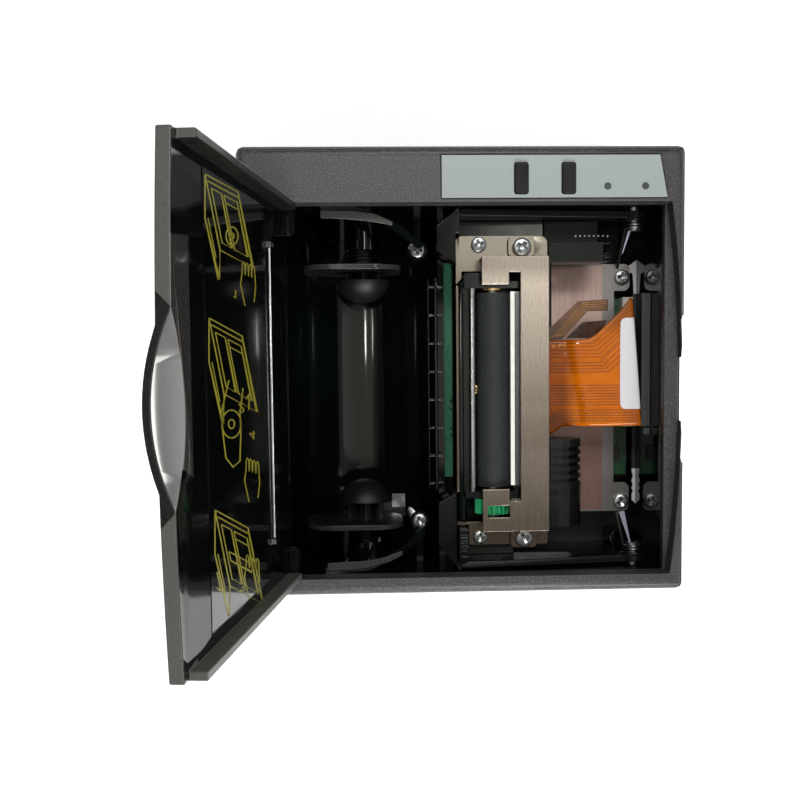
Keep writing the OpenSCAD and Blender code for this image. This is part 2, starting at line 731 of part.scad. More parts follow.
// A sprung hub: dome, finned neck, side plate and shaft. side is -1 for the lower one.
module hub(side) {
    i = side < 0 ? 0 : 1;
    tip = hub_tips[i];
    base = tip + side * dome_h;
    inner = base + side * hub_necks[i];
    outer = inner + side * hub_plate_t;
    sphere_r = (dome_r * dome_r + dome_h * dome_h) / (2 * dome_h);
    color([0.07, 0.07, 0.075]) {
        intersection() {
            translate([roll_x, tip + side * sphere_r, roll_z]) sphere(r = sphere_r, $fn = 96);
            rod_y(roll_x, roll_z, dome_r + 1, min(tip, base), max(tip, base));
        }
        rod_y(roll_x, roll_z, 2.6, min(base, inner) - small, max(base, inner) + small);
        for (a = [0 : 45 : 135])
            translate([roll_x, 0, roll_z]) rotate([0, a, 0])
                translate([-5.6, min(base, inner) - small, -0.45])
                    cube([11.2, abs(inner - base) + 2 * small, 0.9]);
        translate([roll_x - 3.2, 0, roll_z]) prism_y(min(inner, outer), max(inner, outer))
            round_rect(2 * hub_plate_h, 2 * hub_plate_h, 9);
        rod_y(roll_x, roll_z, hub_shaft_r, min(outer, hub_shaft_ends[i]), max(outer, hub_shaft_ends[i]));
    }
}

module upper_hub() {
    hub(1);
}

module lower_hub() {
    hub(-1);
}

module hub_spring(side) {
    i = side < 0 ? 0 : 1;
    wire_r = 0.4;
    color([0.7, 0.7, 0.72])
        translate([roll_x, hub_plates[i], roll_z]) rotate([-side * 90, 0, 0])
            coil(hub_shaft_r + wire_r + 0.35, wire_r, hub_tube_gap, 4);
}

module upper_hub_spring() {
    hub_spring(1);
}

module lower_hub_spring() {
    hub_spring(-1);
}

// ---------- electronics in the bay

module shield_plate() {
    color([0.6, 0.58, 0.54]) difference() {
        union() {
            block([shield_x[0], shield_y[0], shield_z], [shield_x[1], shield_y[1], shield_z + shield_t]);
            for (y = shield_tab_ys)
                round_plate([shield_x[1] - 3, y[0], shield_z], [shield_screw_x + 2.6, y[1], shield_z + shield_t], 2);
            // feet that stand on the board
            for (y = [board_y[0] + 12, board_y[1] - 12])
                block([shield_x[0], y - 3, board_z], [shield_x[0] + shield_t, y + 3, shield_z + small]);
        }
        for (y = shield_screw_ys) translate([shield_screw_x, y, 0]) cylinder(r = 1 + small, h = top_z);
    }
}

module shield_film() {
    color([0.66, 0.5, 0.46])
        block([shield_x[0] + 0.6, shield_y[0] + 0.6, shield_z + shield_t],
            [shield_x[1] - 3.8, shield_y[1] - 0.6, shield_z + shield_t + 0.1]);
}

module shield_screws() {
    color([0.75, 0.76, 0.78])
        for (y = shield_screw_ys)
            translate([shield_screw_x, y, shield_z + shield_t]) pan_screw(2.1, 1, 6);
}

module insulation_strip() {
    color([0.9, 0.9, 0.88])
        block([open_x1 - side_strip_w, shield_y[0] + 1, shield_z], [open_x1, shield_y[1] - 0.6, shield_z + 0.3]);
}

module main_board() {
    notch = [9, 12];
    color([0.13, 0.45, 0.28]) difference() {
        block([board_x[0], board_y[0], board_z - board_t], [board_x[1], board_y[1], board_z]);
        block([board_x[1] - notch.x, board_y[1] - notch.y, 0], [board_x[1] + 1, board_y[1] + 1, top_z]);
    }
}

module board_components() {
    // memory, processor, drivers and capacitors on the upper side
    color([0.08, 0.08, 0.08]) {
        block([board_x[0] + 8, mid_y - 18, board_z], [board_x[0] + 18, mid_y - 8, board_z + 1.5]);
        block([board_x[0] + 9, mid_y + 4, board_z], [board_x[0] + 16, mid_y + 13, board_z + 1.2]);
        block([board_x[1] - 6, mid_y - 24, board_z], [board_x[1] - 2, mid_y - 20, board_z + 1]);
    }
    color([0.3, 0.3, 0.34])
        for (i = [0 : 2])
            translate([board_x[0] + 14 + 7 * i, mid_y + 26, board_z - board_t - 8]) cylinder(r = 3, h = 8);
}

module flex_connector() {
    x = flex_bend_x;
    color([0.2, 0.2, 0.19]) difference() {
        block([x - 2.2, flex_y[0] - 1.3, board_z], [x + 1.2, flex_y[1] + 1.3, board_z + connector_h]);
        block([x - flex_t - 0.05, flex_y[0] - 0.05, board_z + 1.2], [x + 0.05, flex_y[1] + 0.05, top_z]);
    }
}

// Outline of the flat flexible circuit from the print head to its bend beyond the pivot
module flex_outline() {
    x0 = heatsink_x1 - 0.6;
    polygon([
        [x0, flex_y[0] - 2.4], [base_x[1] + 2, flex_y[0] - 2.4], [base_x[1] + 5.8, flex_y[0]],
        [flex_bend_x, flex_y[0]], [flex_bend_x, flex_y[1]], [pivot_x - 0.4, flex_y[1]],
        [pivot_x - 4.7, mid_y + 22.4], [pivot_x - 12.2, mid_y + 16], [base_x[1] + 1.7, mid_y + 14.9],
        [x0, mid_y + 14.9]
    ]);
}

// The flexible circuit at the pivot: it bends down into its connector
module board_flex() {
    x = flex_bend_x;
    color([0.8, 0.45, 0.1]) {
        translate([0, 0, flex_z]) linear_extrude(flex_t) intersection() {
            flex_outline();
            translate([flex_split_x + 0.3, -bezel_h]) square([bezel_w, 2 * bezel_h]);
        }
        block([x - flex_t, flex_y[0], board_z + 1.25], [x, flex_y[1], flex_z + small]);
    }
}

module serial_port() {
    color([0.6, 0.6, 0.62]) difference() {
        union() {
            block([port_x - 15.5, port_y - 6, 0.4], [port_x + 15.5, port_y + 6, 1.4]);
            block([port_x - 15.4, port_y - 5.4, 1.4], [port_x + 15.4, port_y + 5.4, board_z - board_t]);
        }
        // socket with its pins' block left standing
        difference() {
            block([port_x - 9, port_y - 4.2, -1], [port_x + 9, port_y + 4.2, 6]);
            block([port_x - 8, port_y - 3.2, 0.8], [port_x + 8, port_y + 3.2, 6]);
        }
        for (x = [-12.5, 12.5]) translate([port_x + x, port_y, -1]) cylinder(r = 1.3, h = 6);
    }
}

module power_jack() {
    y = port_y - 16.5;
    color([0.08, 0.08, 0.08]) difference() {
        block([jack_x - 4.6, y - 5.2, 0.3], [jack_x + 4.6, y + 5.2, board_z - board_t]);
        difference() {
            translate([jack_x, y, -1]) cylinder(r = 3.2, h = 10);
            translate([jack_x, y, 0.8]) cylinder(r = 1, h = 9);
        }
    }
}

// ---------- lid, drawn closed in its own frame and then opened

module opened() {
    translate([hinge_x, 0, hinge_z]) rotate([0, -lid_angle, 0]) children();
}

module lid_outline() {
    intersection() {
        translate([0, lid_y0]) square([lid_len + lid_bulge + 1, lid_y1 - lid_y0]);
        translate([lid_arc_u, mid_y]) circle(lid_arc_r, $fn = 256);
    }
}

// A round surface along the grip that rises towards the free edge
module grip_cylinder(grow) {
    translate([lid_len + lid_bulge - grip_reach, grip_y, 0])
        rotate([0, -grip_tilt, 0])
            translate([-grip_reach, 0, -grip_r])
                rotate([0, 90, 0]) cylinder(r = grip_r + grow, h = 3 * grip_reach, $fn = 128);
}

module lid_shell() {
    wire_y = [mid_y + 0.5 - wire_len / 2, mid_y + 0.5 + wire_len / 2];
    ear_l = 1.6;
    color([0.13, 0.14, 0.15]) opened() difference() {
        union() {
            linear_extrude(lid_t) lid_outline();
            for (y = [lid_y0, lid_y1 - rim_t])
                block([6, y, -rim_h], [lid_len - 3, y + rim_t, small]);
            for (y = knuckle_ys) rod_y(0, 0, knuckle_r, y, y + knuckle_len);
            intersection() {
                grip_cylinder(grip_wall);
                linear_extrude(lid_t + 2 * grip_rise) lid_outline();
            }
            // ears of the guide wire
            for (y = [wire_y[0] - ear_l, wire_y[1]])
                block([wire_at - 1.6, y, -wire_d - 0.6], [wire_at + 1.6, y + ear_l, small]);
        }
        grip_cylinder(0);
        for (y = knuckle_ys) rod_y(0, 0, hinge_pin_r + fit_gap, y - 1, y + knuckle_len + 1);
        rod_y(wire_at, wire_w, wire_d / 2 + 0.01, wire_y[0] - 1, wire_y[1] + 1);
    }
}

module instruction_label() {
    color([0.05, 0.05, 0.05]) opened()
        block([label_u[0], lid_y0 + rim_t + 2, -label_t], [label_u[1], lid_y1 - rim_t - 2, 0]);
}

module guide_wire() {
    wire_y = [mid_y + 0.5 - wire_len / 2, mid_y + 0.5 + wire_len / 2];
    color([0.7, 0.72, 0.72]) opened() rod_y(wire_at, wire_w, wire_d / 2, wire_y[0] - 1, wire_y[1] + 1);
}

// ---------- swing frame and its release lever

module arm_outline() {
    polygon([
        [frame_x0, floor_z], [frame_x0, frame_top], [pivot_x - 3, pivot_z + pivot_boss_r - 1.2],
        [pivot_x, pivot_z], [pivot_x, pivot_z - pivot_boss_r], [frame_x0 + 26, floor_z]
    ]);
    translate([pivot_x, pivot_z]) circle(pivot_boss_r);
}

module swing_frame() {
    boss_in = 0.9;
    floor_x1 = frame_x0 + 19;
    box_x = [frame_x0 + 28.4, frame_x0 + 45.4];
    box_y = [mid_y + 38.2, mid_y + 44.4];
    color([0.09, 0.09, 0.1]) difference() {
        union() {
            prism_y(arm_y0, arm_y0 + arm_t) arm_outline();
            prism_y(arm_y1 - arm_t, arm_y1) arm_outline();
            rod_y(pivot_x, pivot_z, pivot_boss_r, arm_y0, arm_y0 + arm_t + boss_in);
            rod_y(pivot_x, pivot_z, pivot_boss_r, arm_y1 - arm_t - boss_in, arm_y1);
            block([frame_x0, arm_y0, floor_z], [floor_x1, arm_y1, floor_z + floor_t]);
            block([floor_x1 - 1, motor_y1 + 1.2, floor_z], [frame_x0 + 31, arm_y1, floor_z + floor_t]);
            block([frame_x0, arm_y0, floor_z], [frame_x0 + 1.6, arm_y1, base_top - base_t - 0.6]);
            for (p = mech_screws_at)
                translate([p.x, p.y, floor_z]) cylinder(r = 2.5, h = base_top - base_t - floor_z);
            // the two corners that bulge towards the roll
            translate([0, 0, corner_z]) linear_extrude(frame_top - corner_z) polygon([
                [frame_x0 + 1.2, arm_y1], [frame_x0 + 0.4, arm_y1], [corner_x, arm_y1 - 5],
                [corner_x, arm_y1 - 12.2], [frame_x0 - 0.1, arm_y1 - 15.9], [frame_x0 + 1.2, arm_y1 - 15.9]
            ]);
            translate([0, 0, corner_z]) linear_extrude(frame_top - corner_z) polygon([
                [frame_x0 + 1.2, arm_y0], [frame_x0 + 0.4, arm_y0], [corner_x, arm_y0 + 7],
                [corner_x, arm_y0 + 20.2], [frame_x0 - 0.1, arm_y0 + 23.4], [frame_x0 + 1.2, arm_y0 + 23.4]
            ]);
            // box beside the mechanism, on a web from the arm, with a ribbed end
            block([box_x[0], box_y[0], floor_z + floor_t - 0.6], [box_x[1], box_y[1], top_z - 14.5]);
            block([box_x[0], box_y[1] - 1, floor_z + floor_t - 0.6], [box_x[1], arm_y1, floor_z + floor_t + 0.6]);
            for (i = [0 : 4])
                block([box_x[1] - small, box_y[0] + 0.6 + i * 1.25, floor_z + floor_t - 0.6],
                    [box_x[1] + 2.6, box_y[0] + 1.2 + i * 1.25, top_z - 16]);
        }
        for (y = [arm_y0 - 1, arm_y1 - arm_t - boss_in - 1])
            rod_y(pivot_x, pivot_z, pivot_r + fit_gap, y, y + arm_t + boss_in + 2);
        // seat of the mechanism's base
        block([frame_x0, base_y[0] - 0.3, base_top - base_t], [base_x[1] + 0.3, base_y[1] + 0.3, top_z]);
        for (p = mech_screws_at)
            translate([p.x, p.y, floor_z - 1]) cylinder(r = 1 + small, h = top_z);
        // well of the release lever
        block([lever_x[0] - 0.3, lever_y[0] - 0.3, floor_z + floor_t],
            [lever_x[1] + 0.3, lever_y[1] + 0.3, top_z]);
    }
}

module release_lever() {
    rib_pitch = 1.6;
    color([0.12, 0.12, 0.12]) {
        round_plate([lever_x[0], lever_y[0], lever_z[0]], [lever_x[1], lever_y[1], lever_z[1]], 0.6);
        for (y = [lever_y[0] + 1.4 : rib_pitch : lever_y[1] - 1.2])
            block([lever_x[0] + 0.5, y - 0.35, lever_z[1] - small], [lever_x[1] - 0.5, y + 0.35, lever_z[1] + 0.35]);
    }
}

// ---------- print mechanism

// The room that the steel leaves for the gear cap and the motor
module cap_room() {
    rod_y(motor_x, motor_z, motor_r + 0.3, cap_y0 - 0.3, side_y0 + side_t + motor_len);
}

module mechanism_base() {
    z0 = base_top - base_t;
    right_bar_y = [motor_y1 + 1.4, tab_top_y0 + 1];
    color([0.66, 0.62, 0.56]) difference() {
        union() {
            round_plate([base_x[0], tab_top_y0, z0], [base_x[1], base_y[1], base_top], 2.4);
            round_plate([lever_x[1] + 0.4, base_y[0], z0], [base_x[1], tab_low_y1, base_top], 0.8);
            block([base_x[0], tab_low_y1 - 1, z0], [lever_x[1] + 2, tab_low_y1, base_top]);
            block([base_x[0], tab_low_y1 - 1, z0], [base_x[0] + strip_w_left, tab_top_y0 + 3, base_top]);
            block([base_x[0], lip_y[0] - 1, z0], [base_x[0] + 1, lip_y[1], base_top + 2.5]);
            block([base_x[1] - 2.2, right_bar_y[0], z0], [base_x[1], right_bar_y[1], base_top]);
            for (p = mech_screws_at)
                if (p[2] > 0)
                    round_plate([p.x - 4.1, p.y - (p.y > mid_y ? 2.7 : 3), base_top - small],
                        [p.x + 4.1, p.y + (p.y > mid_y ? 3 : 2.7), base_top + pad_t], 1.4);
        }
        for (p = mech_screws_at)
            translate([p.x, p.y, z0 - 1]) cylinder(r = 1 + small, h = 6);
        cap_room();
    }
}

module mechanism_screws() {
    color([0.76, 0.78, 0.8])
        for (p = mech_screws_at)
            translate([p.x, p.y, base_top + p[2]]) pan_screw(p[3], 1, base_t + p[2] + 5);
}

module platen_bracket() {
    z0 = bracket_top - bracket_t;
    lip_x = platen_x + 4.4;
    lip_drop = 1.6;
    color([0.68, 0.63, 0.57]) difference() {
        union() {
            block([bracket_x[0], lip_y[1], z0], [lip_x, bracket_y[1], bracket_top]);
            block([bracket_x[0], bracket_y[0], z0], [lip_x, lip_y[0], bracket_top]);
            block([lip_x - 1, notch_y[1], z0], [leg_x + 1, bracket_y[1], bracket_top]);
            block([lip_x - 1, bracket_y[0], z0], [leg_x + 1, notch_y[0], bracket_top]);
            block([leg_x, bracket_y[0], z0], [bracket_x[1], bracket_y[1], bracket_top]);
            // folds at both ends, down to the base, and the short lips beside the platen
            block([bracket_x[0], bracket_y[1] - bracket_t, base_top], [bracket_x[1], bracket_y[1], z0 + small]);
            block([bracket_x[0], bracket_y[0], base_top], [bracket_x[1], bracket_y[0] + bracket_t, z0 + small]);
            for (y = [lip_y[1], lip_y[0] - bracket_t])
                block([bracket_x[0], y, z0 - lip_drop], [lip_x, y + bracket_t, z0 + small]);
        }
        block([platen_x - 2.1, window_y[0], z0 - 1], [platen_x + 4.4, window_y[1], bracket_top + 1]);
        cap_room();
    }
}

// Two black plates that carry the platen's bushes; the lower one also carries the motor
module mechanism_sides() {
    x0 = base_x[0] + strip_w_left + 0.4;
    x1 = base_x[1] - 2.6;
    z0 = floor_z + floor_t;
    z1 = top_z - 9.9;
    color([0.08, 0.08, 0.085]) difference() {
        union() {
            prism_y(side_y1, side_y1 + side_t) translate([x0, z0]) square([x1 - x0, z1 - z0]);
            prism_y(side_y0, side_y0 + side_t) {
                translate([x0, z0]) square([x1 - x0, z1 - z0]);
                translate([motor_x, motor_z]) circle(motor_r);
            }
            // hook beside the platen's end
            block([x0, side_y1 + side_t - small, z0 + 5], [platen_x - 3.5, side_y1 + side_t + 2.6, z1 - 0.7]);
        }
        for (y = [side_y0, side_y1]) {
            rod_y(platen_x, platen_z, bush_r, y - 1, y + side_t + 1);
        }
        rod_y(idler_x, idler_z, idler_pin_r, side_y0 - 1, side_y0 + side_t + 1);
        rod_y(motor_x, motor_z, motor_shaft_r + fit_gap, side_y0 - 1, side_y0 + side_t + 1);
    }
}

module platen_bushes() {
    color([0.75, 0.6, 0.3])
        for (y = [side_y0, side_y1]) {
            inner = y < mid_y ? y + side_t : y - 0.6;
            difference() {
                union() {
                    rod_y(platen_x, platen_z, bush_r - small, y, y + side_t);
                    rod_y(platen_x, platen_z, bush_r + 0.6, inner, inner + 0.6);
                }
                rod_y(platen_x, platen_z, shaft_r + fit_gap, y - 2, y + side_t + 2);
            }
        }
}

module idler_pin() {
    color([0.72, 0.72, 0.74]) {
        rod_y(idler_x, idler_z, idler_pin_r - small, gear_y - 0.4, side_y0 + side_t);
        rod_y(idler_x, idler_z, idler_pin_r + 0.8, gear_y - 1, gear_y - 0.35);
    }
}

module head_board() {
    color([0.82, 0.84, 0.82])
        block([head_face_x, head_y[0], platen_z - 6.5], [head_face_x + head_board_t, head_y[1], top_z - 9.6]);
}

// Aluminium carrier behind the head, with fins on its back
module print_head() {
    x0 = head_face_x + head_board_t;
    color([0.6, 0.6, 0.6]) difference() {
        block([x0, head_y[0], platen_z - 6.5], [heatsink_x1, head_y[1], top_z - 10.2]);
        for (z = [platen_z - 4.5 : 2.4 : top_z - 12])
            block([heatsink_x1 - 1.4, head_y[0] - 1, z], [heatsink_x1 + 1, head_y[1] + 1, z + 1.1]);
    }
}

module head_springs() {
    color([0.7, 0.7, 0.72])
        for (y = [mid_y - 5, mid_y + 20])
            translate([heatsink_x1, y, base_top - base_t / 2]) rotate([0, 90, 0])
                coil(1.9, 0.35, base_x[1] - 2.2 - heatsink_x1, 4);
}

// Serrated strip that the paper is torn against
module tear_bar() {
    x0 = head_face_x + head_board_t + small;
    z0 = top_z - 10.2;
    tooth = 1.2;
    count = floor((head_y[1] - head_y[0]) / tooth);
    color([0.2, 0.22, 0.23]) translate([0, 0, z0]) linear_extrude(1.1) polygon(concat(
        [[x0 + 1.5, head_y[0]], [x0 + 1.5, head_y[0] + count * tooth]],
        [for (i = [count : -1 : 0]) each [
            [x0 + 0.3, head_y[0] + i * tooth],
            if (i > 0) [x0, head_y[0] + (i - 0.5) * tooth]
        ]]
    ));
}

// Curved black guide under and beside the platen
module paper_guide() {
    y = [side_y0 + side_t, side_y1];
    x0 = base_x[0] + strip_w_left + 0.1;
    inner_r = platen_r + 1.2;
    guide_t = 1.1;
    color([0.07, 0.07, 0.07]) {
        translate([platen_x, 0, platen_z]) prism_y(y[0], y[1]) intersection() {
            difference() {
                circle(inner_r + guide_t);
                circle(inner_r);
            }
            polygon([[0, 0], [-20, 1], [-20, -20], [-6, -20]]);
        }
        block([x0, y[0], platen_z - 3], [x0 + 1.5, y[1], top_z - 11]);
        block([x0, y[0], platen_z - 3], [platen_x - inner_r - guide_t + 0.4, y[1], platen_z - 2]);
    }
}

module guide_bar() {
    color([0.75, 0.75, 0.75])
        rod_y(platen_x - 6.4, platen_z + 3, 1, side_y0 + side_t, side_y1);
}

module stepper_motor() {
    ring_pitch = 2.4;
    y0 = side_y0 + side_t;
    color([0.06, 0.06, 0.06]) difference() {
        rod_y(motor_x, motor_z, motor_r, y0, y0 + motor_len - 1);
        for (i = [0 : 4])
            difference() {
                rod_y(motor_x, motor_z, motor_r + 1, y0 + 2 + i * ring_pitch, y0 + 3 + i * ring_pitch);
                rod_y(motor_x, motor_z, motor_r - 0.7, y0, y0 + motor_len);
            }
        rod_y(motor_x, motor_z, motor_shaft_r + fit_gap, y0 - 1, y0 + 5);
    }
}

// Black cap over the motor's pinion, open towards the idler gear
module gear_cap() {
    cap_wall = 1.4;
    color([0.06, 0.06, 0.06]) difference() {
        rod_y(motor_x, motor_z, motor_r, cap_y0, side_y0);
        rod_y(motor_x, motor_z, motor_r - cap_wall, cap_y0 + cap_wall, side_y0 + 1);
        rod_y(idler_x, idler_z, idler_pitch_r + gear_m + 0.4, gear_y - 0.6, side_y0 + 1);
        rod_y(idler_x, idler_z, idler_pin_r + 1.2, gear_y - 1.6, side_y0 + 1);
    }
}

// The flexible circuit as far as the pivot
module head_flex() {
    color([0.8, 0.45, 0.1]) translate([0, 0, flex_z]) linear_extrude(flex_t) intersection() {
        flex_outline();
        translate([flex_split_x - bezel_w, -bezel_h]) square([bezel_w, 2 * bezel_h]);
    }
}

module flex_label() {
    color([0.88, 0.87, 0.9])
        round_plate([flex_split_x + 0.4, mid_y - 6.6, flex_z + flex_t],
            [flex_bend_x - 1.1, mid_y + 21.7, flex_z + flex_t + 0.1], 1);
}

module sensor_flex() {
    z = floor_z + floor_t;
    color([0.45, 0.28, 0.12]) translate([0, 0, z]) linear_extrude(flex_t) polygon([
        [base_x[1] - 1, mid_y + 14.6], [base_x[1] + 6, mid_y + 15.2], [base_x[1] + 14, mid_y + 24],
        [pivot_x - 7, mid_y + 24], [pivot_x - 7, mid_y + 27.6], [base_x[1] + 11, mid_y + 27],
        [base_x[1] + 2.4, mid_y + 19], [base_x[1] - 1, mid_y + 19]
    ]);
}

// ---------- turning pieces

// Each gear's first tooth is placed so that the teeth mesh at rest
platen_first = idler_dir;
idler_first = idler_dir + 180 - (360 / idler_teeth) * 0.5;
idler_offset = (idler_first - motor_dir) * idler_teeth / 360;
pinion_first = motor_dir + 180 - (360 / pinion_teeth) * (idler_offset + 0.5);

module platen_shaft() {
    color([0.72, 0.72, 0.74]) rod_y(platen_x, platen_z, shaft_r, gear_y - 0.8, side_y1 + side_t + 1.8);
}

module platen_rubber() {
    color([0.16, 0.18, 0.2]) difference() {
        rod_y(platen_x, platen_z, platen_r, platen_y[0], platen_y[1]);
        rod_y(platen_x, platen_z, shaft_r, platen_y[0] - 1, platen_y[1] + 1);
    }
}

module platen_gear() {
    color([0.05, 0.55, 0.3])
        gear_y(platen_x, platen_z, platen_teeth, platen_first, shaft_r, gear_y, gear_y + gear_w);
}

module idler_gear() {
    color([0.9, 0.88, 0.8])
        gear_y(idler_x, idler_z, idler_teeth, idler_first, idler_pin_r + 0.04, gear_y, gear_y + gear_w);
}

module motor_pinion() {
    color([0.8, 0.7, 0.4]) {
        translate([motor_x, 0, motor_z]) prism_y(gear_y, gear_y + gear_w) gear_outline(pinion_teeth, pinion_first);
        rod_y(motor_x, motor_z, motor_shaft_r, gear_y, side_y0 + side_t + 3);
    }
}

front_bezel();
housing_shell();
rear_cover();
key_strip();
status_lamps();
key_board();
key_switches();
feed_key();
print_key();
paper_trough();
paper_comb();
end_cheeks();
trough_screws();
low_paper_sensor();
sensor_lever();
upper_hub();
lower_hub();
upper_hub_spring();
lower_hub_spring();
shield_plate();
shield_film();
shield_screws();
insulation_strip();
main_board();
board_components();
flex_connector();
board_flex();
serial_port();
power_jack();
cover_screws();
lid_hinge_pins();
swing_pivot_pins();
swing_springs();
lid_shell();
instruction_label();
guide_wire();
swing_frame();
release_lever();
mechanism_base();
platen_bracket();
mechanism_sides();
platen_bushes();
print_head();
head_board();
head_springs();
tear_bar();
paper_guide();
guide_bar();
stepper_motor();
gear_cap();
idler_pin();
mechanism_screws();
head_flex();
flex_label();
sensor_flex();
platen_shaft();
platen_rubber();
platen_gear();
idler_gear();
motor_pinion();
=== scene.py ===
import json
import math

import bmesh
import bpy
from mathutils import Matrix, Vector
from mathutils.bvhtree import BVHTree


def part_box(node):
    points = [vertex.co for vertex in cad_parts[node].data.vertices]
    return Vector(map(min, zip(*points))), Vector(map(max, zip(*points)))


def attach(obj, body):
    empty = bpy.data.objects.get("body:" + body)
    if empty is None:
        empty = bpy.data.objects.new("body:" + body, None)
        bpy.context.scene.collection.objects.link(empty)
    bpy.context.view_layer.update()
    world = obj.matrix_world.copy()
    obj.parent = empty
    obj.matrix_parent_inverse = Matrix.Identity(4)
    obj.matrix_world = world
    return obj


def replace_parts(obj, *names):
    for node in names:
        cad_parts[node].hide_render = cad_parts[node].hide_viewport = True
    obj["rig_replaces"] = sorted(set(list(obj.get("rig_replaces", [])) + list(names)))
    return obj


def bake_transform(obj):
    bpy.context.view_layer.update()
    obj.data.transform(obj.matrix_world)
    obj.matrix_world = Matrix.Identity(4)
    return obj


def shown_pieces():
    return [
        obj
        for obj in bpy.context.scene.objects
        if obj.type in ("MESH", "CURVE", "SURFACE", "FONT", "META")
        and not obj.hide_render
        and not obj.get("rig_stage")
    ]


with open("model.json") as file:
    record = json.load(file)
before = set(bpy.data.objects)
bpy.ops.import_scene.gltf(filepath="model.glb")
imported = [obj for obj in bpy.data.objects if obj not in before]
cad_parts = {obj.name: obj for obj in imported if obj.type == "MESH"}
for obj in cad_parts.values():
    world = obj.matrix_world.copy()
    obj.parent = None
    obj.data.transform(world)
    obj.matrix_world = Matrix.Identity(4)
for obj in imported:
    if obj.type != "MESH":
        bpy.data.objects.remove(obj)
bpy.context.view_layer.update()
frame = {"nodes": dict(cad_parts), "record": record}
nodes = frame["nodes"]
body_of = {n: b for b, names in frame["record"]["behaviour"]["bodies"].items() for n in names}
slot_of = {s["node"]: s["material_slot"] for s in frame["record"]["subparts"]}
MM = 0.001
MID_Y = -5.6  # middle of the lid and the roller, in mm
UP = Vector((0, 0, 1))

def new_in_scene(name, data):
    o = bpy.data.objects.new(name, data)
    bpy.context.scene.collection.objects.link(o)
    return o


# ---------- camera, settled by the image points

W = H = L = 800  # the photograph's frame in pixels
CAM_PLACE = (-30.99, 3.16, 381.62)
CAM_TURN = (-0.070, -0.039, -0.010)
CAM_LENS = 49.356
CAM_SENSOR = 36.0
CAM_SHIFT_X = 0.0
CAM_SHIFT_Y = 39.29 / L
REACH = range(200, 420)  # mm from the camera between which the object lies

cam_data = bpy.data.cameras.new("camera")
cam = new_in_scene("camera", cam_data)
cam.location = Vector(CAM_PLACE) * MM
cam.rotation_euler = CAM_TURN
cam_data.lens = CAM_LENS
cam_data.sensor_width = CAM_SENSOR
cam_data.sensor_fit = "AUTO"
cam_data.shift_x = CAM_SHIFT_X
cam_data.shift_y = CAM_SHIFT_Y
cam_data.clip_start = 0.01
bpy.context.scene.camera = cam
bpy.context.view_layer.update()
CAM_M = cam.matrix_world.copy()
FOCAL = L * CAM_LENS / CAM_SENSOR  # in pixels


def to_pixel(p):
    """Where a point of the shared frame shows in the photograph's frame."""
    q = CAM_M.inverted() @ Vector(p)
    return (
        W / 2 - CAM_SHIFT_X * L + FOCAL * q.x / -q.z,
        H / 2 + CAM_SHIFT_Y * L - FOCAL * q.y / -q.z,
    )


def pixel_ray(x, y):
    """Start and direction of the line of sight through an image point."""
    way = CAM_M.to_3x3() @ Vector((x - W / 2 + CAM_SHIFT_X * L, H / 2 - y + CAM_SHIFT_Y * L, -FOCAL))
    return CAM_M.translation, way.normalized()


def tree_of(*objects):
    """A BVH tree of the finished meshes, as placed."""
    dg = bpy.context.evaluated_depsgraph_get()
    verts, polys = [], []
    for o in objects:
        e = o.evaluated_get(dg)
        m = e.to_mesh()
        first = len(verts)
        verts += [e.matrix_world @ v.co for v in m.vertices]
        polys += [[first + i for i in p.vertices] for p in m.polygons]
        e.to_mesh_clear()
    return BVHTree.FromPolygons(verts, polys)


def place(x, y, tree):
    """Point and normal of a surface at an image point; a miss takes the place nearest the ray."""
    start, way = pixel_ray(x, y)
    hit, normal, _, _ = tree.ray_cast(start, way)
    if hit is None:
        near = (tree.find_nearest(start + way * k * MM) for k in REACH)
        hit, normal, _, _ = min(near, key=lambda found: found[3])
    return hit, normal if normal.dot(way) < 0 else -normal


# ---------- material tools; texture coordinates are millimetres of the shared frame


